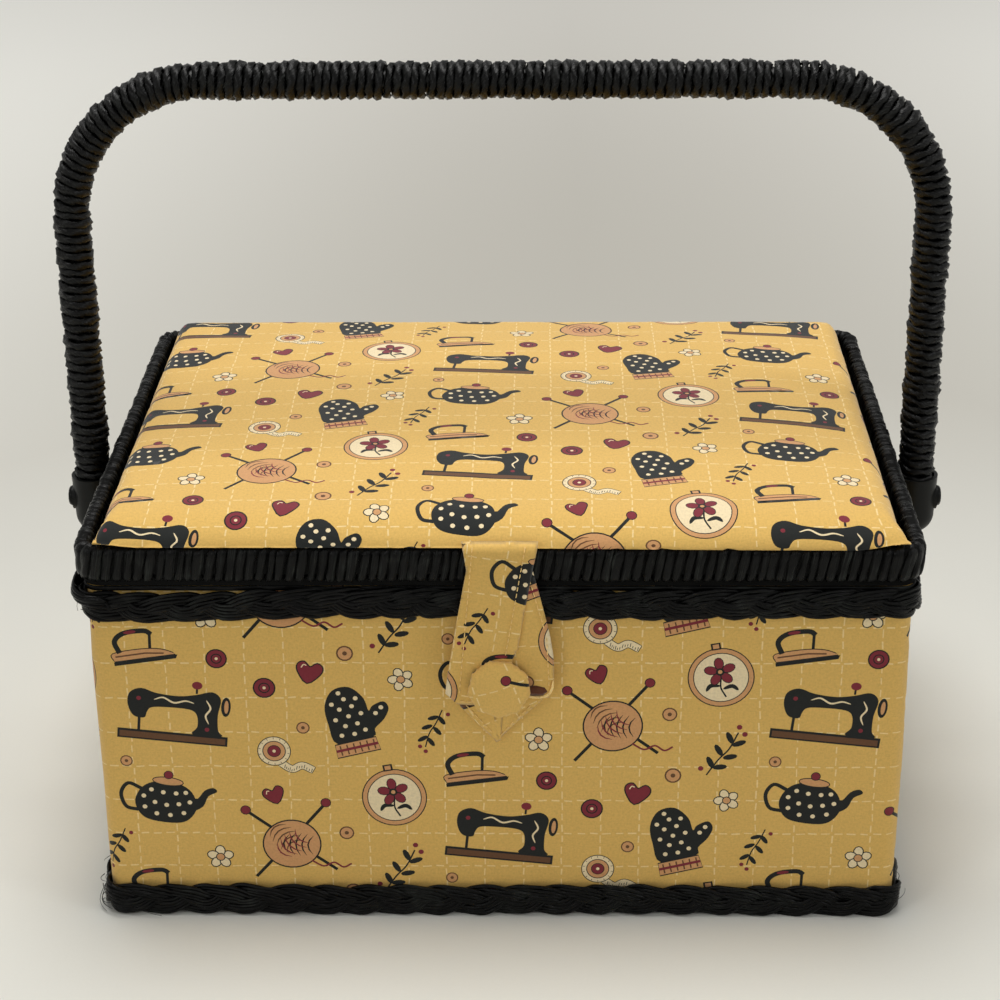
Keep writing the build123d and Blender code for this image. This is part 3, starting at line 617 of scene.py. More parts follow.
def printed_flat(outline, us, vs, origin, angle, seed):
    """The printed cotton cut to an outline: flat points, triangles and each triangle's ink.

    us and vs give a grid of extra points, so that the cut can be bent."""
    outline = np.array(outline, float)
    low, high = outline.min(0), outline.max(0)
    c, s = math.cos(angle), math.sin(angle)
    turn = np.array([[c, s], [-s, c]])
    corners = (np.array([(low[0], low[1]), (high[0], low[1]), (high[0], high[1]), (low[0], high[1])])
               - origin) @ turn.T
    p_low, p_high = corners.min(0), corners.max(0)
    shapes = [(PRINT.index("dash"), q) for q in dash_grid(p_low, p_high, seed)]
    for i in steps(p_low[0], p_high[0], TILE_W, 1, 1):
        for j in steps(p_low[1], p_high[1], TILE_H, 2, 2):
            du, dv = i * TILE_W, (j + 0.5 * (i % 2)) * TILE_H
            for x, y, reach, motif in MOTIFS:
                if (p_low[0] - reach < x + du < p_high[0] + reach
                        and p_low[1] - reach < y + dv < p_high[1] + reach):
                    shapes += [(ink, shape + (du, dv)) for ink, shape in motif]
    verts, faces, inks = [tuple(p) for p in outline], [list(range(len(outline)))], [0]
    for ink, shape in shapes:
        shape = shape @ turn + origin
        if (shape.max(0) < low).any() or (shape.min(0) > high).any():
            continue
        if shoelace(shape) < 0:
            shape = shape[::-1]
        shape = divided(shape, 2.6)
        faces.append(list(range(len(verts), len(verts) + len(shape))))
        verts += shape
        inks.append(ink)
    verts += [(u, v) for u in us for v in vs if low[0] < u < high[0] and low[1] < v < high[1]]
    if shoelace(outline) < 0:
        faces[0].reverse()
    flat, _, tris, _, _, sources = geometry.delaunay_2d_cdt([Vector(p) for p in verts], [], faces, 1, 1e-4)
    keep = [(t, inks[max(o)]) for t, o in zip(tris, sources) if 0 in o]
    points = np.array([(p[0], p[1]) for p in flat])
    used = np.zeros(len(points), bool)
    used[[k for t, _ in keep for k in t]] = True
    number = np.cumsum(used) - 1
    return points[used], [[int(number[k]) for k in t] for t, _ in keep], [ink for _, ink in keep]


def printed_rect(u_cuts, v_cuts, us, vs, origin, seed):
    """A large rectangle of the print, cut out block by block and stitched together again."""
    number, points, tris, inks = {}, [], [], []
    for u0, u1 in zip(u_cuts, u_cuts[1:]):
        for v0, v1 in zip(v_cuts, v_cuts[1:]):
            inner_u = [u for u in us if u0 + 0.01 < u < u1 - 0.01]
            inner_v = [v for v in vs if v0 + 0.01 < v < v1 - 0.01]
            outline = ([(u0, v0)] + [(u, v0) for u in inner_u] + [(u1, v0)] + [(u1, v) for v in inner_v]
                       + [(u1, v1)] + [(u, v1) for u in inner_u[::-1]] + [(u0, v1)]
                       + [(u0, v) for v in inner_v[::-1]])
            flat, block, block_inks = printed_flat(outline, inner_u, inner_v, origin, 0.0, seed)
            local = []
            for p in flat:
                key = (round(float(p[0]), 2), round(float(p[1]), 2))
                if key not in number:
                    number[key] = len(points)
                    points.append(p)
                local.append(number[key])
            for t, ink in zip(block, block_inks):
                t = [local[k] for k in t]
                if len(set(t)) == 3:
                    tris.append(t)
                    inks.append(ink)
    return np.array(points), tris, inks


def corner_uvs(points, tris):
    return np.asarray(points)[np.array([k for t in tris for k in t])] * MM


def printed_piece(name, verts, flat, tris, inks, body, nodes):
    return piece(name, verts, tris, printed_mats, inks, corner_uvs(flat, tris), body, "printed_cotton",
                 nodes)


def grid(low, high, step):
    return list(np.linspace(low, high, max(2, int(round((high - low) / step)) + 1)))


# ---- camera, light and floor
YAW, PITCH, ROLL = math.radians(-1.14), math.radians(24.22), math.radians(-0.47)
ahead = Vector((math.sin(YAW) * math.cos(PITCH), math.cos(YAW) * math.cos(PITCH), -math.sin(PITCH)))
level = Vector((math.cos(YAW), -math.sin(YAW), 0))
upward = level.cross(ahead)
right = level * math.cos(ROLL) + upward * math.sin(ROLL)
top = upward * math.cos(ROLL) - level * math.sin(ROLL)
camera = bpy.data.objects.new("camera", bpy.data.cameras.new("camera"))
scene.collection.objects.link(camera)
camera.matrix_world = Matrix((
    (right.x, top.x, -ahead.x, 15.8 * MM), (right.y, top.y, -ahead.y, -863.2 * MM),
    (right.z, top.z, -ahead.z, 509.3 * MM), (0, 0, 0, 1)))
camera.data.lens, camera.data.sensor_width = 86.35, 36.0
camera.data.clip_start, camera.data.clip_end = 0.05, 20
scene.camera = camera
scene.view_settings.view_transform = "Standard"


def area_light(name, at, aim, size, power, colour):
    data = bpy.data.lights.new(name, "AREA")
    data.shape, data.size, data.energy, data.color = "DISK", size, power, colour
    obj = bpy.data.objects.new(name, data)
    obj.location = at
    obj.rotation_euler = (Vector(aim) - Vector(at)).to_track_quat("-Z", "Y").to_euler()
    scene.collection.objects.link(obj)


area_light("overhead", (-0.10, 0.10, 1.66), (0, 0, 0.05), 0.95, 19.6, (1.0, 0.985, 0.965))
area_light("front_left", (-1.5, -1.6, 1.1), (0, 0, 0.1), 0.5, 4.9, (1.0, 0.995, 0.98))
area_light("right", (1.4, -0.7, 1.0), (0, 0, 0.1), 0.5, 3.8, (0.98, 0.99, 1.0))
scene.world = bpy.data.worlds.new("studio")
sky = Nodes(scene.world, "Background")
sky.set(Color=(1.0, 0.99, 0.965, 1), Strength=sky.remap(sky.seen(), 0.0, 1.0, 0.3, 0.5))


def floor_paper():
    """One wide sheet of pale paper, with a painted shadow that darkens it behind the basket, and aglow far
    off.
    """
    cuts = [-6000, -2500, -1200, -600, -300, 0, 300, 600, 1200, 2500, 6000]
    m = len(cuts)
    verts = [(x, y, 0.0) for y in cuts for x in cuts]
    faces = [(i * m + j, i * m + j + 1, (i + 1) * m + j + 1, (i + 1) * m + j)
             for i in range(m - 1) for j in range(m - 1)]
    n = material("floor_paper")
    where = n.coords("Object")
    place = n.add("SeparateXYZ", Vector=where).outputs
    # Painted shadow: near the middle and behind the basket the paper darkens towards the ramp's darker
    # colour.
    sideways = n.math("ABSOLUTE", n.math("ADD", place["X"], -0.04), 0.0)
    pale = n.math("MAXIMUM", n.remap(sideways, 0.06, 0.60, way="SMOOTHSTEP"),
                  n.remap(place["Y"], 0.05, 0.55, 1.0, 0.0, "SMOOTHSTEP"))
    far = n.math("ADD", place["Y"], n.math("MULTIPLY", sideways, 0.8))
    glow = n.remap(far, 0.45, 1.6, 0.0, 0.27, "SMOOTHSTEP")
    n.set(Roughness=0.9, Specular_IOR_Level=0.15, Emission_Color=(1.0, 0.985, 0.94, 1),
          Base_Color=n.ramp(n.weigh(pale, 0.92, n.noise(where, 700.0, 2.0), 0.08),
                            (0.0, rgb(192, 189, 180)), (1.0, rgb(224, 224, 217))),
          Emission_Strength=n.math("MULTIPLY", glow, n.seen()))
    return piece("floor_paper", verts, faces, [n.owner])


floor_paper()


# ---- finishes of the CAD pieces
def finish(nodes, mat):
    for name in nodes.split():
        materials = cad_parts[name].data.materials
        materials.clear()
        materials.append(mat)


finish("base_board front_board back_board left_board right_board lid_board", board_mat)
finish("lid_frame rim_core", frame_mat)
finish("handle_cap_left handle_cap_right pivot_spacer_left pivot_spacer_right", cap_mat)
finish("handle_rivet_left handle_rivet_right pivot_washer_left pivot_washer_right", rivet_mat)
finish("handle_tube", tube_mat)
finish("hinge_case_leaf_left hinge_case_leaf_right hinge_lid_leaf_left hinge_lid_leaf_right", steel_mat)
finish("hinge_pin_left hinge_pin_right hinge_case_screws hinge_lid_screws button_shell button_shank",
       bright_mat)
finish("tray", tray_mat)


# ---- case cloth
def case_cloth():
    at, total = around(CASE_W, CASE_D, CASE_R)
    low, high = 0.9, CASE_TOP + 0.9
    corners = []
    a, b, q = CASE_W / 2 - CASE_R, CASE_D - 2 * CASE_R, QUARTER * CASE_R
    for start in (a, a + q + b, 3 * a + 2 * q + b, 3 * a + 3 * q + 2 * b):
        corners += list(np.linspace(start, start + q, 9))
    us = sorted(set(np.round(grid(0, total, 7.0) + corners, 3)))
    vs = grid(low, CASE_TOP - 0.4, 6.5) + [CASE_TOP - 0.1, CASE_TOP]
    flat, tris, inks = printed_rect(grid(0, total, 63), [low, 70.0, high], us, vs, (13.0, 6.0), 3)
    u, v = flat.T
    p, out = at(u)
    edge = np.clip(np.minimum(v - 10, 124 - v) / 18, 0, 1)
    puff = edge * (0.25 + 0.25 * np.sin(u / 31.0 + np.sin(v / 17.0)) * np.sin(v / 23.0 + u / 57.0))
    fold = np.maximum(v - CASE_TOP, 0)
    verts = np.column_stack([p + out * (puff - fold)[:, None], np.minimum(v, CASE_TOP)])
    cloth = printed_piece("case_print", verts, flat, tris, inks, "case", ["case_cloth"])


case_cloth()


# ---- lid pad
def rise(value, low, high):
    t = np.clip((value - low) / (high - low), 0, 1)
    return t * t * (3 - 2 * t)


def side_arc(inset, height):
    """The length of cloth over a rounded side."""
    return QUARTER * math.sqrt((inset ** 2 + height ** 2) / 2)


def pad_side(r, inset, height):
    """The pad's side, r mm of cloth in from its edge: how far in, and how far below the top."""
    length = side_arc(inset, height)
    phi = np.clip(r / length, 0, 1) * QUARTER
    return (inset * (1 - np.cos(phi)) + np.abs(np.where(r < 0, r, np.maximum(r - length, 0))),
            height * (1 - np.sin(phi)))


END_SIDE, FRONT_SIDE, BACK_SIDE = (7.0, 9.0), (16.0, 8.6), (10.0, 8.6)   # inset and height
PAD_HALF_U = PAD_X + (side_arc(*END_SIDE) - END_SIDE[0])
PAD_V = (PAD_FRONT - (side_arc(*FRONT_SIDE) - FRONT_SIDE[0]),
         PAD_BACK + (side_arc(*BACK_SIDE) - BACK_SIDE[0]))
BACK_CORNER, SEAM_Z, CROWN, GATHERS, STUFFING_Z = 9, 150.6, 3.1, 0.13, 144.0
TIP_LEFT, TIP_RIGHT, CORNER_FOLD = 0.7, 2.3, (142.8, -110.4)


def pad_form(u, v):
    """The pad's form: a point for each point of its flat cloth."""
    in_x, drop_x = pad_side(PAD_HALF_U - np.abs(u), *END_SIDE)
    in_f, drop_f = pad_side(v - PAD_V[0], *FRONT_SIDE)
    in_b, drop_b = pad_side(PAD_V[1] - v, *BACK_SIDE)
    x, y = PAD_X - in_x, np.where(v < 0, PAD_FRONT + in_f, PAD_BACK - in_b)
    cx, cy = PAD_X - BACK_CORNER, PAD_BACK - BACK_CORNER
    dx, dy = x - cx, y - cy
    inward = np.where((dx > 0) & (dy > 0), np.maximum(dx, dy) / np.maximum(np.hypot(dx, dy), 1e-6), 1.0)
    x = np.where(inward < 1, cx + dx * inward, x)
    y = np.where(inward < 1, cy + dy * inward, y)
    # the front corners are drawn out to tips, the right one further, and the front sags on the right
    tip = rise(-y, 96, 111)
    x = np.sign(u) * (x + np.where(u < 0, TIP_LEFT, TIP_RIGHT) * tip ** 1.4 * rise(x, 96, 141))
    sag = rise(x, -40, 120) * rise(-v, 84, 112)
    y = y - 0.3 * sag
    low = SEAM_Z + 2.1 * rise(-y, 84, 108) - 0.8 * sag
    low = low + np.where(u < 0, 1.3, 2.3) * rise(np.abs(x), 124, 141) * rise(-v, 92, 112)
    drop = (drop_x ** 2.2 + np.where(v < 0, drop_f, drop_b) ** 2.2) ** (1 / 2.2)
    z = np.maximum(PAD_Z - drop, low)
    body = np.clip((z - low) / (PAD_Z - low), 0, 1)
    z = z + body * (CROWN * np.clip(1 - (x / 141) ** 2, 0, 1) ** 0.75
                    * np.clip(1 - ((y + 4) / 108.5) ** 2, 0, 1) ** 0.7)
    # the folded corner in front on the left, and a slighter one on the right
    for side, depth in ((1, 1.25), (-1, 0.5)):
        along = np.array([8.4 * side, 23.0]) / math.hypot(8.4, 23.0)
        from_x, from_y = x + side * CORNER_FOLD[0], y - CORNER_FOLD[1]
        off = (from_x * along[1] - from_y * along[0]) * side
        way = (from_x * along[0] + from_y * along[1]) / 25.0
        step = np.where(off > 0, 0.35, 1.0) * np.tanh(off / 0.55) * np.exp(-(off / 5.0) ** 2)
        z = z + depth * step * rise(way, 0.0, 0.12) * (1 - rise(way, 0.6, 1.15))
    # soft creases along the sides, where the cloth is drawn down, and a trough at the back
    for at, reach, deep, sway in ((132.0, 1.5, 0.40, 1.0), (136.5, 1.1, 0.35, 0.6),
                                  (-133.5, 1.6, 0.28, 0.9)):
        crease = at + sway * np.sin(y / 17.0 + at)
        z = z - deep * np.exp(-((x - crease) / reach) ** 2) * (1 - rise(np.abs(y), 40, 92)) * body
    z = z - 0.4 * np.exp(-((y - 82) / 8.0) ** 2) * body
    # small gathers above the sewn edges
    pull = rise(np.abs(u), PAD_HALF_U - 34, PAD_HALF_U - 12) * np.sin(v / 4.1 + 1.6 * np.sin(v / 13.0)) + (
        rise(-v, -PAD_V[0] - 30, -PAD_V[0] - 12) * np.sin(u / 5.3 + 1.9 * np.sin(u / 19.0)))
    return np.column_stack([x, y, z + GATHERS * pull * body])


def pad_settled(m, n, form):
    """Cloth drawn over the stuffing: how far the stuffing moves each point of the pad's grid."""
    count, last_frame, most = m * n, 20, 1.7
    below = form.copy()
    below[:, 2] = STUFFING_Z
    number = np.arange(count).reshape(m, n)
    faces = []
    for i in range(m - 1):
        for j in range(n - 1):
            a, b, c, d = (int(number[p]) for p in ((i, j), (i + 1, j), (i + 1, j + 1), (i, j + 1)))
            faces += [(a, b, c, d), (d + count, c + count, b + count, a + count)]
    ring = np.concatenate([number[:, 0], number[-1, 1:], number[-2::-1, -1], number[0, -2:0:-1]]).tolist()
    faces += [(b, a, a + count, b + count) for a, b in zip(ring, ring[1:] + ring[:1])]
    body = piece("pad_stuffing", np.concatenate([form, below]), faces, [])
    held = body.vertex_groups.new(name="held")
    held.add(ring + list(range(count, 2 * count)), 1.0, "REPLACE")
    cloth = body.modifiers.new("cloth", "CLOTH")
    for key, value in {"quality": 8, "mass": 0.2, "tension_stiffness": 25, "compression_stiffness": 25,
                       "shear_stiffness": 10, "bending_stiffness": 0.8, "shrink_min": -0.008,
                       "vertex_group_mass": "held", "use_pressure": True,
                       "uniform_pressure_force": 4.0}.items():
        setattr(cloth.settings, key, value)
    cloth.settings.effector_weights.gravity = 0
    cloth.collision_settings.use_self_collision = False
    cloth.point_cache.frame_start, cloth.point_cache.frame_end = 1, last_frame
    for step in range(1, last_frame + 1):
        scene.frame_set(step)
    settled = body.evaluated_get(bpy.context.evaluated_depsgraph_get()).to_mesh()
    moved = np.array([tuple(v.co) for v in settled.vertices])[:count] / MM - form
    scene.frame_set(1)
    bpy.data.objects.remove(body)
    moved *= min(1, most / float(np.linalg.norm(moved, axis=1).max()))
    return moved.reshape(m, n, 3)


def lid_pad():
    hem, step = 4.0, 5.0
    near = [-4, -2, 0, 1.5, 3, 4.5, 6, 8, 10, 12, 14, 17, 20]

    def lines(low, high):
        return sorted([low + k for k in near] + [high - k for k in near] + grid(low + 24, high - 24, 5.5))

    def cell(value, marks):
        """Which cell of the stuffing's grid a point is in, and how far across it."""
        f = np.clip((value - marks[0]) / (marks[1] - marks[0]), 0, len(marks) - 1.001)
        return f.astype(int), rise(f - f.astype(int), 0, 1)[:, None]

    flat, tris, inks = printed_rect(
        grid(-PAD_HALF_U - hem, PAD_HALF_U + hem, 62), grid(PAD_V[0] - hem, PAD_V[1] + hem, 78),
        lines(-PAD_HALF_U, PAD_HALF_U), lines(*PAD_V), (-24.0, 9.0), 5)
    coarse_u, coarse_v = np.array(grid(-PAD_HALF_U, PAD_HALF_U, step)), np.array(grid(*PAD_V, step))
    gu, gv = np.meshgrid(coarse_u, coarse_v, indexing="ij")
    moved = pad_settled(len(coarse_u), len(coarse_v), pad_form(gu.ravel(), gv.ravel()))
    u, v = flat.T
    (i, a), (j, b) = cell(u, coarse_u), cell(v, coarse_v)
    shift = ((moved[i, j] * (1 - a) + moved[i + 1, j] * a) * (1 - b)
             + (moved[i, j + 1] * (1 - a) + moved[i + 1, j + 1] * a) * b)
    pad = printed_piece("lid_pad", pad_form(u, v) + shift, flat, tris, inks, "lid",
                        ["lid_cover", "lid_foam"])


lid_pad()


# ---- wound rim
def by_turn(t, turns, draw, a, b, often=1):
    """Random values, so many to a turn, joined up along a winding."""
    count = often * (turns + 2)
    return np.interp(t * often, np.arange(count), draw(a, b, count))


def sideways(out):
    return np.column_stack([-out[:, 1], out[:, 0], np.zeros(len(out))])


def rim_winding():
    """Flat paper cord wound side by side round the lid's rim."""
    turns, round_steps, thick = 282, 24, 1.3
    at, total = around(RIM_W - RIM_T, RIM_D - RIM_T, RIM_R - RIM_T / 2)
    half_x, half_z = RIM_T / 2 - thick, (RIM_TOP - RIM_LOW) / 2 - thick
    section, girth = around(2 * half_x, 2 * half_z, 2.0)
    r = np.random.RandomState(11)
    t = np.arange(turns * round_steps + 1) / round_steps
    jitter = by_turn(t, turns, r.normal, 0, 0.34)
    lift = by_turn(t, turns, r.uniform, -0.30, 0.0)
    bow = by_turn(t, turns, r.normal, 0, 0.22)
    tops = by_turn(t, turns, r.uniform, -1.2, -0.4)
    (x, z), (out_x, out_z) = (pair.T for pair in section((t % 1) * girth))
    middle, out = at(total * t / turns + jitter + 0.07 * z + bow * np.cos(z / half_z * QUARTER))
    lift = lift + 0.22 * rise(-z, 2.5, 5.5) * rise(x, 0, 2) + tops * rise(z, 3.4, 5.35)
    lip = 2.3 * rise(x, 0.1, 1.5) * (half_z - z) / (2 * half_z)
    x, z = x - 0.25 * lip, z - lip
    side = sideways(out)
    centres = np.column_stack([middle + out * (x + out_x * lift)[:, None],
                               (RIM_LOW + RIM_TOP) / 2 + z + out_z * lift])
    outward = unit(np.column_stack([out * out_x[:, None], out_z]))
    spread = np.linalg.norm(np.roll(centres, -round_steps, 0) - centres, axis=1)
    spread[-round_steps:] = spread[-2 * round_steps:-round_steps]
    angles = circle(12)
    ridge = 1 + 0.09 * np.stack([by_turn(t, turns, r.normal, 0, 1) for _ in angles], -1)
    ridge = ridge + 0.11 * np.sin(3 * angles + (by_turn(t, turns, r.uniform, 0, 6)
                                                + 3 * TAU * (t % 1))[:, None])
    width = 0.98 * spread / 2
    cord = swept(centres, side, outward, sections(angles, width[:, None] * ridge, thick * ridge))
    plain_piece("rim_winding", cord, cord_mat, "lid", "paper_cord", "rim_wrap")


rim_winding()


# ---- wound handle
LEG, ARC, GRIP = GRIP_Z - BEND_R - WRAP_LOW, QUARTER * BEND_R, 2 * (LEG_X - BEND_R)
HANDLE_LENGTH = 2 * LEG + 2 * ARC + GRIP


def bail(s):
    """A point of the handle's middle line, s mm from the left leg's foot, and its outward side."""
    side = np.where(s < HANDLE_LENGTH / 2, -1, 1)
    up = np.minimum(s, HANDLE_LENGTH - s)
    bend = np.clip((up - LEG) / BEND_R, 0, QUARTER)
    x = LEG_X - BEND_R + BEND_R * np.cos(bend) - np.maximum(up - LEG - ARC, 0)
    z = WRAP_LOW + np.minimum(up, LEG) + BEND_R * np.sin(bend)
    return side * x, z, side * np.cos(bend), np.sin(bend)


def handle_winding():
    pitch, round_steps, thick, wide = 3.2, 56, 1.45, 1.85
    turns = int(HANDLE_LENGTH / pitch)
    r = np.random.RandomState(23)
    t = np.arange(turns * round_steps + 1) / round_steps
    s = np.clip(HANDLE_LENGTH * t / turns + by_turn(t, turns, r.normal, 0, 0.26), 0, HANDLE_LENGTH)
    lift = by_turn(t, turns, r.normal, 0, 0.22) + by_turn(t, turns, r.normal, 0, 0.10, 3)
    x, z, nx, nz = bail(s)
    a = TAU * t
    outward = np.column_stack([nx * np.cos(a), np.sin(a), nz * np.cos(a)])
    centres = np.column_stack([x, 0 * x, z]) + outward * (WRAP_R - thick + lift)[:, None]
    angles = circle(7)
    girth = 1 + 0.10 * by_turn(t, turns, r.normal, 0, 1)
    twist = 5.5 * a + by_turn(t, turns, r.normal, 0, 0.9, 2)
    ridge = (0.95 + 0.24 * np.cos(2 * angles + twist[:, None])
             + 0.03 * r.normal(0, 1, (len(t), len(angles)))) * girth[:, None]
    cord = swept(centres, np.column_stack([nz, 0 * t, -nx]), outward,
                 sections(angles, wide * ridge, thick * ridge))
    plain_piece("handle_winding", cord, handle_mat, "handle", "paper_cord", "handle_wrap")


handle_winding()


# ---- plaits
def top_extras(at, total, s, waver):
    """A narrow black ribbon under the top plait, put in as painted shade in the gap below the rim, and the
    bundle of cord ends at its left front corner.
    """
    shade_ribbon_z, ends_start, ends_z = 135.35, 338, 134.8
    under, _ = around(CASE_W + 1.3, CASE_D + 1.3, CASE_R + 0.65)
    q, o = under(s * (total - 4 * 2.2) / total)
    sec = np.array([(-0.95, 0), (-0.8, 0.28), (0, 0.36), (0.8, 0.28), (0.95, 0), (0, -0.3)])
    # The black ribbon stands in for the shade between the rim and the top plait.
    parts = [swept(np.column_stack([q, shade_ribbon_z + waver]), np.tile((0, 0, 1.0), (len(s), 1)),
                   np.column_stack([o, 0 * s]), sec, closed=True)]
    w = np.linspace(0, 1, 22)
    for k in range(6):
        q, o = at(ends_start + 1.5 * k + w * (30 - k))
        lift = 1.7 + 1.5 * np.sin(w * math.pi) + 0.3 * math.sin(k)
        z = ends_z - 0.85 * k + 0.6 * np.sin(w * 5 + k) - 1.4 * w * w
        taper = np.minimum(1, np.minimum(w, 1 - w) * 12 + 0.3)
        parts.append(flat_cord(np.column_stack([q + o * lift[:, None], z]), o, 0.8 * taper, 8))
    return parts


def plait(name, low, seed, node, turn, droop):
    """A flat plait of three strands, each of five paper cords, round the case, with loose fibres."""
    half_height, crossing, sample, half_wide, half_thick = 6.15, 45.0, 1.25, 0.80, 0.70
    fibres, fibres_in_corner, fibre_radius = 46, 12, 0.17
    top, middle = low > 100, low + half_height
    swing = 2.6 if top else 3.0
    at, total = around(CASE_W + 3.5, CASE_D + 3.5, CASE_R + 1.75)
    period = total / round(total / crossing)
    n = int(total / sample)
    s = np.linspace(0, total, n, endpoint=False)
    p, out = at(s)
    side = sideways(out)
    outward = np.column_stack([out, 0 * s])
    r = np.random.RandomState(seed)

    def wander(reach, waves):
        """Soft noise that joins up round the case."""
        k = r.randint(waves // 3, waves, 4)
        a, b = r.uniform(0, TAU, 4), r.uniform(0.4, 1.0, 4)
        return reach * sum(bb * np.sin(TAU * kk * s / total + aa) for kk, aa, bb in zip(k, a, b)) / 2

    parts, angles = [], circle(8)
    for k in range(3):
        t = turn * TAU * (s / period + k / 3) + wander(0.22, 40)
        z = (middle + (swing * np.tanh(1.25 * np.sin(t)) / math.tanh(1.25) + wander(0.2, 50))
             + droop(s, total))
        tangent = unit(side + np.array([0, 0, 1.0]) * np.gradient(z, s)[:, None])
        across = np.cross(outward, tangent)
        for lane in (-2.6, -1.3, 0.0, 1.3, 2.6):
            shift = lane * (0.97 + 0.06 * np.cos(t)) + wander(0.22, 90)
            out_by = 0.98 * np.sin(2 * t) + wander(0.20, 110) + 0.16 - 0.035 * lane ** 2
            centres = np.column_stack([p + out * out_by[:, None], z]) + across * shift[:, None]
            girth = 1.0 + wander(0.12, 70)
            twist = TAU * s / 9.0 + lane
            ridge = girth[:, None] * (1 + 0.10 * np.sin(3 * angles + twist[:, None])
                                      + 0.05 * r.normal(0, 1, (n, len(angles))))
            verts, faces, uvs = swept(centres, across, outward,
                                      sections(angles, half_wide * ridge, half_thick * ridge), closed=True)
            verts[:, 2] = np.maximum(verts[:, 2], 0.12)
            parts.append((verts, faces, uvs))
    if top:
        parts += top_extras(at, total, s, wander(0.08, 30))
    w = np.linspace(0, 1, 9)
    for k in range(fibres):
        start = r.uniform(0, total) if k >= fibres_in_corner else total / 4 + 94 + r.uniform(-16, 26)
        length, lean = r.uniform(5, 13), r.uniform(-0.5, 0.5)
        q, o = at(start + w * length)
        lift = 1.9 + r.uniform(0.5, 1.7) * np.sin(w * math.pi * r.uniform(0.6, 1.0))
        z = middle + r.uniform(-4.5, 4.5) + lean * w * length + 1.5 * w * w * r.uniform(-1, 1)
        centres = np.column_stack([q + o * lift[:, None], np.clip(z, 0.4, None)])
        parts.append(flat_cord(centres, o, fibre_radius * (1 - 0.6 * w), 5))
    plain_piece(name, joined(parts), plait_mat, "case", "paper_plait", node)


plait("top_plait", 123.7, 31, "top_braid", 1,
      lambda s, total: 0.25 * np.sin(TAU * 5 * s / total) - 1.6 * np.exp(-((s - 388) / 36) ** 2))
plait("base_plait", 0.3, 47, "base_braid", -1, lambda s, total: 0.2 * np.sin(TAU * 6 * s / total))


# ---- closing tab
def tab_point(x, drop, off):
    """A point of the hanging tab: across, down from the rim's top, and out from the tab's back plane."""
    c, s = math.cos(TAB_TILT), math.sin(TAB_TILT)
    return np.column_stack([x, TAB_BACK + drop * s - off * c, RIM_TOP - drop * c - off * s])


def to_segment(points, a, b):
    """How far along a segment each point is, from 0 to 1, and how far away from it."""
    a = np.array(a, float)
    d = np.array(b, float) - a
    t = np.clip(((points - a) @ d) / max(d @ d, 1e-9), 0, 1)
    return t, np.linalg.norm(points - a - t[:, None] * d, axis=1)


def strand(points, radius):
    """A short round thread along a few points, its ends drawn in."""
    along = unit(np.gradient(points, axis=0))
    helper = np.where(np.abs(along[:, 1:2]) > 0.9, [[1.0, 0, 0]], [[0, -1.0, 0]])
    across = unit(np.cross(helper, along))
    radii = np.full(len(points), radius)
    radii[[0, -1]] *= 0.45
    return round_cord(points, across, np.cross(along, across), radii, 7)


def running_stitch(a, b, off, lift):
    """Stitches of thread on the strap between two of its points."""
    stitch, gap, radius = 1.8, 0.8, 0.19
    a, b = np.array(a, float), np.array(b, float)
    reach = float(np.linalg.norm(b - a))
    for k in range(int(reach / (stitch + gap))):
        w = (k * (stitch + gap) + np.linspace(0, stitch, 6)) / reach
        p = a + (b - a) * w[:, None]
        bow = off + lift(p) + 0.17 * np.sin(np.linspace(0, 1, 6) * math.pi) - 0.05
        yield strand(tab_point(p[:, 0], -p[:, 1], bow), radius)


def tab_layer(name, outline, reach, back, front, origin, angle, seed, warp=lambda p: 0 * p[:, 0],
              round_over=1.0, stitches=()):
    """One closed, printed layer of the strap, its edges rounded over, with its lines of stitches."""
    outline = np.array(divided(outline, reach), float)
    low, high = outline.min(0), outline.max(0)
    flat, tris, inks = printed_flat(outline, grid(low[0], high[0], 1.6), grid(low[1], high[1], 1.6),
                                    origin, angle, seed)
    d = np.min([to_segment(flat, a, b)[1] for a, b in zip(outline, np.roll(outline, -1, 0))], axis=0)
    edge = d < 1e-5
    swell = np.where(edge, 0, np.sqrt(np.clip(1 - (1 - np.clip(d / round_over, 0, 1)) ** 2, 0, 1)))
    middle, half = (front + back) / 2, (front - back) / 2
    pucker = 0 * d
    for a, b in stitches:
        t, near = to_segment(flat, a, b)
        pucker -= 0.34 * np.exp(-(near / 0.8) ** 2) * (0.75 + 0.25 * np.cos(t * math.dist(a, b) * 1.85))
    lift = warp(flat)
    verts = [tab_point(flat[:, 0], -flat[:, 1], off + lift)
             for off in (middle + half * swell + pucker, middle - half * swell)]
    count = np.arange(len(flat))
    back_number = np.where(edge, count, count + len(flat))
    faces = list(tris) + [[int(back_number[k]) for k in t[::-1]] for t in tris]
    uvs = np.concatenate([corner_uvs(flat, tris), corner_uvs(flat, [t[::-1] for t in tris])])
    index = inks + inks
    verts = np.concatenate(verts)
    threads = [p for a, b in stitches for p in running_stitch(a, b, front, warp)]
    if threads:
        more, more_faces, more_uvs = joined(threads)
        faces += [[k + len(verts) for k in f] for f in more_faces]
        verts, uvs = np.concatenate([verts, more]), np.concatenate([uvs, more_uvs])
        index = index + [len(printed_mats)] * len(more_faces)
    return piece(name, verts, faces, printed_mats + [thread_mat], index, uvs)


def one_finish(obj):
    obj.data.polygons.foreach_set("material_index", np.zeros(len(obj.data.polygons), np.int32))


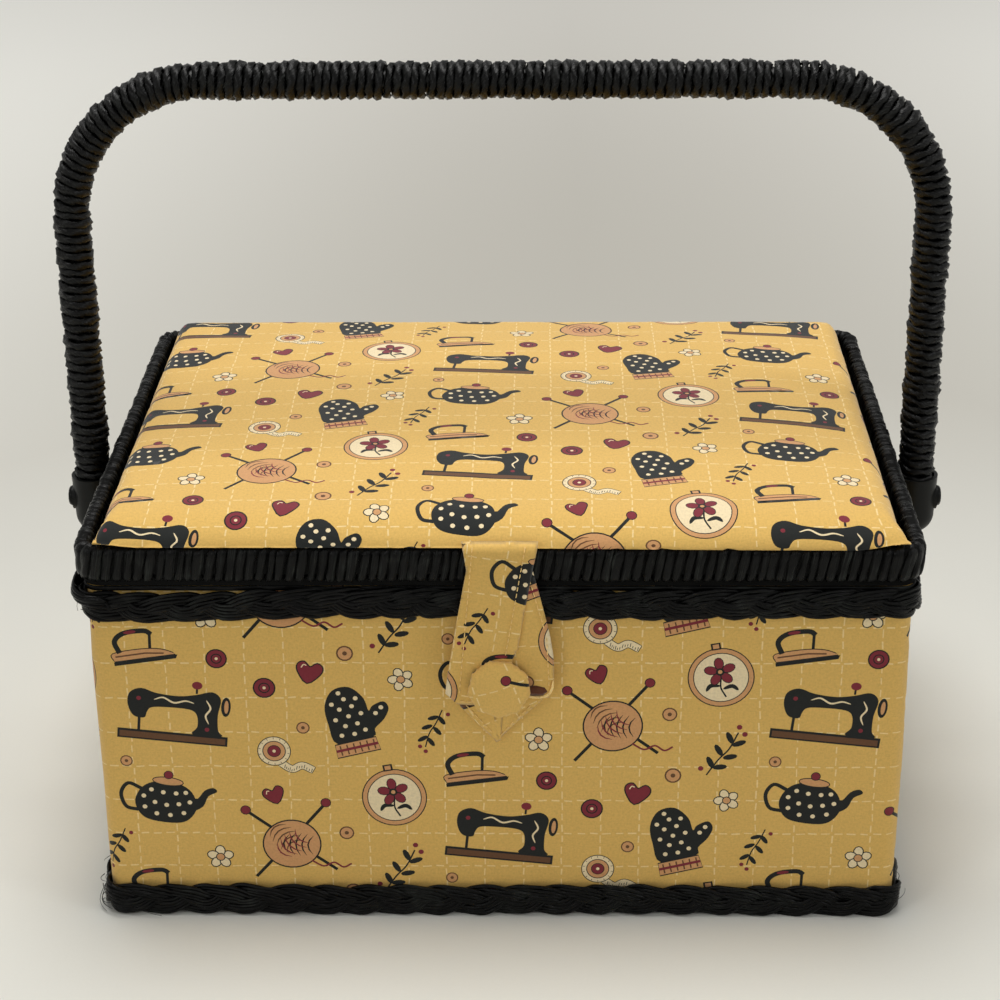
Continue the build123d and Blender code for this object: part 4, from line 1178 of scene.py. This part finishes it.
# The strap's shapes: (across, height above the rim's top), so what hangs down is negative.
FRONT_LEG = [(-9.2, 2.2), (14.0, 2.2), (12.0, -8.2), (9.6, -22), (6.8, -39.1), (4.8, -43.9), (4.5, -46.2),
             (0.7, -46.3), (-1.5, -54), (-4, -63.0), (-10.3, -63.3), (-15.2, -62.9), (-16.9, -60.8),
             (-19.3, -58.3), (-18.2, -49.1), (-14.7, -28), (-11.1, -8.2), (-12.2, 0.8), (-12.6, 1.6),
             (-9.6, 1.7)]
BACK_LEG = [(-12.7, 1.8), (13.8, 1.8), (12.0, -8.2), (15.4, -22.4), (18.1, -34.2), (19.3, -42.4),
            (19.6, -50), (19.5, -56.1), (17.6, -60.2), (11.0, -60.4), (5, -58), (3, -46), (-2, -30),
            (-9, -14), (-11.0, -8.2)]
MITRE = [(-15.5, -60.5), (-13.9, -64.6), (-1.2, -79.4), (6.6, -70.5), (15.5, -61.6), (12, -56), (-10, -55)]
FOLD = [(-2.4, -64.0), (1.5, -64.0), (0.4, -78.2), (-0.9, -79.0)]
MOUTH = [(8.6, -57.2), (10.2, -55.4), (13.2, -55.0), (16.2, -55.6), (17.2, -57.2), (15.6, -58.9),
         (12.0, -59.3), (9.2, -58.9)]
LIP = [(7.4, -58.9), (9.6, -59.6), (12.0, -59.9), (14.6, -59.8), (16.8, -59.0), (18.3, -57.4),
       (19.0, -55.2), (19.2, -52.6)]


def closing_tab():
    def over_rim(p):
        """The strap bends back over the rim at its top."""
        return -0.55 * np.clip(p[:, 1] + 0.6, 0, 5) ** 1.5

    def front_lift(p):
        return (0.28 * np.sin(p[:, 1] / 9.0) * np.clip(-p[:, 1] / 30, 0, 1) + over_rim(p)
                + 0.25 * np.exp(-((p[:, 1] + 30) / 16) ** 2) * np.sin(p[:, 0] / 3.4))

    def back_lift(p):
        return (0.9 * np.clip((p[:, 0] - 6) / 12, 0, 1) ** 2 * np.clip(-p[:, 1] / 40, 0, 1) + over_rim(p))

    def mitre_lift(p):
        return 0.5 * np.exp(-((p[:, 0] + 0.9) / 1.3) ** 2) * rise(-p[:, 1], 58, 66)

    front = tab_layer("tab_front_leg", FRONT_LEG, 2.0, 1.05, 2.1, (3.0, -4.0), -0.14, 8, front_lift,
                      stitches=[((-8.9, 1.0), (-14.5, -61.0)), ((9.4, 1.0), (1.9, -44.5)),
                                ((-14.0, -61.3), (-6.0, -61.6))])
    back = tab_layer("tab_back_leg", BACK_LEG, 2.0, 0.05, 1.0, (41.0, 22.0), 0.12, 9, back_lift,
                     stitches=[((16.9, -35.0), (17.8, -56.0)), ((10.2, -9.5), (16.4, -33.0))])
    mitre = tab_layer("tab_mitre", MITRE, 2.0, 0.0, 0.9, (60.0, 12.0), 0.5, 10, mitre_lift,
                      stitches=[((-12.0, -63.5), (-1.6, -76.6)), ((0.6, -76.2), (5.6, -69.6)),
                                ((6.4, -69.0), (13.0, -61.8))])
    fold = tab_layer("tab_fold", FOLD, 2.0, 0.95, 1.45, (60.0, 15.0), 0.1, 11, round_over=0.5)
    # The loop's opening is a flat patch of dark brown cloth on the back leg: painted shade where the loop
    # is open.
    hollow = tab_layer("tab_opening", MOUTH, 1.5, 1.0, 1.25, (0.0, 0.0), 0.0, 12, back_lift,
                       round_over=0.3)
    hollow.data.materials.clear()
    hollow.data.materials.append(opening_shade_mat)
    one_finish(fold)
    one_finish(hollow)
    way = np.array(LIP)
    lip = plain_piece("tab_lip", strand(tab_point(way[:, 0], -way[:, 1], 1.15 + back_lift(way)), 0.5),
                      thread_mat)
    for obj in (front, back, mitre, fold, hollow, lip):
        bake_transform(obj)
    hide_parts("closing_tab", "tab_anchor")
    for obj, outline, extras in ((front, FRONT_LEG, []), (back, BACK_LEG, [hollow, lip]),
                                 (mitre, MITRE, [fold])):
        across, down = np.ptp(np.array(outline), axis=0) * MM
        abs(shoelace(np.array(outline))) * MM * MM
        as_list(extras)


closing_tab()


# ---- button
def covered_button():
    """A cloth-covered button: the cover is drawn over the edge in small gathers."""
    cut, drawn_in, turned = 15.0, 0.958, 0.2
    flat, tris, inks = printed_flat(oval(0, 0, cut, n=96), grid(-cut, cut, 0.9), grid(-cut, cut, 0.9),
                                    (-40.0, 2.0), 0.35, 12)
    r = np.linalg.norm(flat, axis=1)
    a = np.arctan2(flat[:, 1], flat[:, 0])
    reach = np.interp(r, [0, 10.0, 10.5, 11.0, 11.6, 12.2, 13.8, 15.0],
                      [0, 9.8, 10.25, 10.6, 10.85, 10.95, 10.85, 9.9])
    height = np.interp(r, [0, 2, 4, 6, 8, 10, 10.5, 11.0, 11.6, 12.2, 13.8, 15.0],
                       [4.95, 4.88, 4.68, 4.34, 3.88, 3.22, 2.95, 2.58, 2.05, 1.5, 0.15, 0.05])
    edge = rise(r, 8.0, 11.4)
    ninth = TAU / 9
    facet = (BUTTON_R * (math.cos(ninth / 2) / np.cos(np.mod(a + turned, ninth) - ninth / 2) - drawn_in)
             + 0.1 * np.sin(4 * a))
    gather = 0.16 * np.sin(29 * a + 2 * np.sin(3 * a)) * rise(r, 10.2, 11.6)
    reach = reach + edge * facet + gather
    height = height + 0.16 * edge * np.cos(9 * (a + turned)) + 0.05 * np.sin(3 * a + r / 2.5)
    verts = np.column_stack([reach * np.cos(a), BUTTON_BACK - height, BUTTON_Z + reach * np.sin(a)])
    cover = printed_piece("button_print", verts, flat, tris, inks, "case", ["button_cover"])


covered_button()


# ---- inside: linings, pocket and pincushion
def from_edge(u, v, half_u, half_v):
    return np.minimum(np.minimum(u + half_u, half_u - u), np.minimum(v + half_v, half_v - v))


LINING, PINCUSHION = (lining_mat, "lining_cotton"), (pincushion_mat, "pincushion_cotton")


def cloth_grid(name, us, vs, where, cloth, body, node, flip=True, loop=False):
    """A plain sheet of cloth: where(u, v) gives its points; the UVs are its flat cut."""
    mat, slot = cloth
    us, vs = np.asarray(us, float), np.asarray(vs, float)
    gu, gv = np.meshgrid(us, vs, indexing="ij")
    m, n = len(us), len(vs)
    ends = np.append(us, us[-1] + (us[-1] - us[-2]))
    faces, uvs = [], []
    for i in range(m if loop else m - 1):
        k = (i + 1) % m
        for j in range(n - 1):
            quad = [(i * n + j, us[i], vs[j]), (k * n + j, ends[i + 1], vs[j]),
                    (k * n + j + 1, ends[i + 1], vs[j + 1]), (i * n + j + 1, us[i], vs[j + 1])]
            if flip:
                quad = quad[::-1]
            faces.append([q[0] for q in quad])
            uvs += [(q[1] * MM, q[2] * MM) for q in quad]
    return plain_piece(name, (where(gu.ravel(), gv.ravel()), faces, uvs), mat, body, slot, node)


def case_lining():
    """The padded lining: up the walls and over their top edge, and a second piece on the floor."""
    at, total = around(282.4, 204.4, 2.5)
    top_rows = [136.0, 136.3, 136.56, 136.6]

    def wall(u, v):
        p, out = at(u)
        puff = 0.28 + 0.24 * np.sin(u / 27.0 + np.sin(v / 15.0)) * np.sin(v / 21.0 + u / 43.0)
        puff = puff * rise(v, 118, 126) * (1 - rise(v, 131, 135.5))
        over = np.interp(v, [0] + top_rows, [0, 0, 0.12, 0.9, 4.4])
        z = np.where(v > 136.2, np.where(v > 136.5, 136.62, 136.45), v)
        return np.column_stack([p + out * (over - puff)[:, None], z])

    walls = cloth_grid("lining_walls", np.linspace(0, total, 150, endpoint=False),
                       grid(FLOOR_Z, top_rows[0], 5.5) + top_rows[1:], wall, LINING, "case",
                       "case_lining", loop=True)

    def floor(u, v):
        soft = rise(from_edge(u, v, FLOOR_X, FLOOR_Y), 0, 14) * (
            0.5 + 0.3 * np.sin(u / 23.0) * np.cos(v / 19.0 + u / 61.0))
        return np.column_stack([u, v, FLOOR_Z + soft])

    ground = cloth_grid("lining_floor", grid(-FLOOR_X, FLOOR_X, 6), grid(-FLOOR_Y, FLOOR_Y, 6), floor,
                        LINING, "case", "case_lining", flip=False)


case_lining()


def tray_rests():
    """Board strips covered with the lining, one on each side wall, for the tray to stand on."""
    wall_x, half_thick, foot_z, top_z, rounding = 141.05, 3.0, 4.95, 83.98, 0.8
    section = [spoke(rounding, start + 22.5 * k, x, z) for x, z, start in (
        (2.1, 77.8, 0), (-2.1, 77.8, 90), (-2.4, 0.4, 180), (2.4, 0.4, 270)) for k in range(5)]
    y = np.linspace(-60, 60, 41)
    shape = np.array(section)[None] * np.where(np.abs(y) > 59, 0.97, 1.0)[:, None, None]
    shape[..., 0] += 0.4 * (0.06 * np.sin(y / 7.0))[:, None]
    across, up = (np.tile(way, (len(y), 1)) for way in ([1.0, 0, 0], [0, 0, 1.0]))
    for side, name in ((-1, "left"), (1, "right")):
        centres = np.column_stack([0 * y + side * (wall_x - half_thick), y, 0 * y + foot_z])
        verts, faces, uvs = swept(centres, across, up, shape)
        verts[:, 2] = np.clip(verts[:, 2], FLOOR_Z, top_z)
        plain_piece("tray_rest_" + name, (verts, faces, uvs), lining_mat, "case", "lining_cotton",
                    "tray_support_" + name)


tray_rests()


def lid_inside():
    """The lid's lining, its gathered pocket, and the pincushion with its piping."""
    def sheet(u, v):
        soft = rise(from_edge(u, v, LID_X, LID_Y), 0, 10) * (
            0.06 + 0.05 * np.sin(u / 21.0 + v / 37.0) * np.sin(v / 17.0))
        return np.column_stack([u, v, LID_UNDER - soft])

    under = cloth_grid("lid_lining_cloth", grid(-LID_X, LID_X, 6), grid(-LID_Y, LID_Y, 6), sheet,
                       LINING, "lid", "lid_lining")

    wide, deep = 59.0, 112.0

    def pocket(u, v):
        """u runs across, v from the open edge in front to the sewn edge at the back."""
        edge = np.minimum(np.minimum(u + wide, wide - u), deep - v)
        lift = 3.3 * rise(edge, -1.5, 9) * (0.72 + 0.28 * np.cos(np.clip(v / deep, 0, 1) * QUARTER))
        ruffle = np.exp(-v / 16.0) * (0.55 * np.sin(u * 1.15 + 1.3 * np.sin(u / 6.0))
                                      + 0.2 * np.sin(u * 2.3))
        casing = -0.35 * np.exp(-((v - 8.0) / 0.9) ** 2)
        drop = np.clip(lift + (ruffle + casing) * rise(edge, 0, 7), 0, 3.9)
        return np.column_stack([u - 62.0, v - 44.0, 138.98 - drop])

    bag = cloth_grid("lid_pocket_cloth", grid(-wide, wide, 1.0),
                     [0, 0.6, 1.4] + grid(2.4, 20, 1.1)[1:] + grid(20, deep, 3)[1:], pocket, LINING,
                     "lid", "lid_pocket")

    half_x, half_y, at_x, at_y, high_in_middle = 46, 31, 66, 8, 9.5

    def cushion(u, v):
        """A pillow, sewn down round its edge; u and v run from -1 to 1."""
        a, b = np.clip(u, -1, 1), np.clip(v, -1, 1)
        x, y = half_x * a * np.sqrt(1 - 0.10 * b * b), half_y * b * np.sqrt(1 - 0.14 * a * a)
        high = (1 - np.abs(a) ** 3.2) ** 0.5 * (1 - np.abs(b) ** 2.8) ** 0.5
        rim = 1 - np.clip(high, 0, 1)
        turn = np.arctan2(y, x)
        pucker = 0.28 * np.sin(26 * turn + 2 * np.sin(5 * turn)) * rim * (1 - rim) * 3
        slack = 0.22 * np.sin(x / 7.0 + np.sin(y / 5.0)) * high
        return np.column_stack([x + at_x, y + at_y,
                                139.0 - np.clip(high_in_middle * high + pucker + slack, 0, 10)])

    pillow = cloth_grid("lid_pincushion_pad", *(np.sin(np.linspace(-1, 1, k) * QUARTER) for k in (61, 45)),
                        cushion, PINCUSHION, "lid", "lid_pincushion")
    for loop in pillow.data.uv_layers[0].data:
        loop.uv = (loop.uv[0] * half_x, loop.uv[1] * half_y)
    way = circle(160)
    c, s = np.cos(way), np.sin(way)
    ring_x = at_x + (half_x - 0.4) * np.sign(c) * np.abs(c) ** 0.28
    ring_y = at_y + (half_y - 0.4) * np.sign(s) * np.abs(s) ** 0.28
    centres = np.column_stack([ring_x, ring_y, 0 * way + 138.1])
    along = unit(np.roll(centres, -1, 0) - np.roll(centres, 1, 0))
    down = np.tile([0, 0, -1.0], (len(way), 1))
    angles = circle(7)
    ridge = 0.85 * (1 + 0.10 * np.sin(2 * angles + 8 * np.arange(len(way))[:, None] * 0.35))
    piping = swept(centres, np.cross(down, along), down, sections(angles, ridge, ridge), closed=True)
    plain_piece("pincushion_piping", piping, pincushion_mat, "lid", "pincushion_cotton", "lid_pincushion")


lid_inside()


def base_felt():
    """The sheet glued under the base."""
    at, total = around(CASE_W - 0.2, CASE_D - 0.2, CASE_R)
    m = 160
    p, _ = at(np.linspace(0, total, m, endpoint=False))
    rows = []
    for inset, z in ((0, 0.72), (0, 0.12), (0.5, 0.02), (12, 0.02), (40, 0.03), (70, 0.02), (100, 0.03)):
        shrink = np.maximum(1 - inset / np.array([CASE_W / 2, CASE_D / 2]), 0.02)
        rows.append(np.column_stack([p * shrink, np.full(m, z)]))
    verts, last = np.concatenate(rows), (len(rows) - 1) * m
    faces = [[i + j, i + m + j, i + m + (j + 1) % m, i + (j + 1) % m]
             for i in range(0, last, m) for j in range(m)]
    faces.append([last + j for j in range(m)][::-1])
    felt = plain_piece("base_felt", (verts, faces, corner_uvs(verts[:, :2], faces)), felt_mat, "case",
                       "base_felt", "base_sheet")


base_felt()
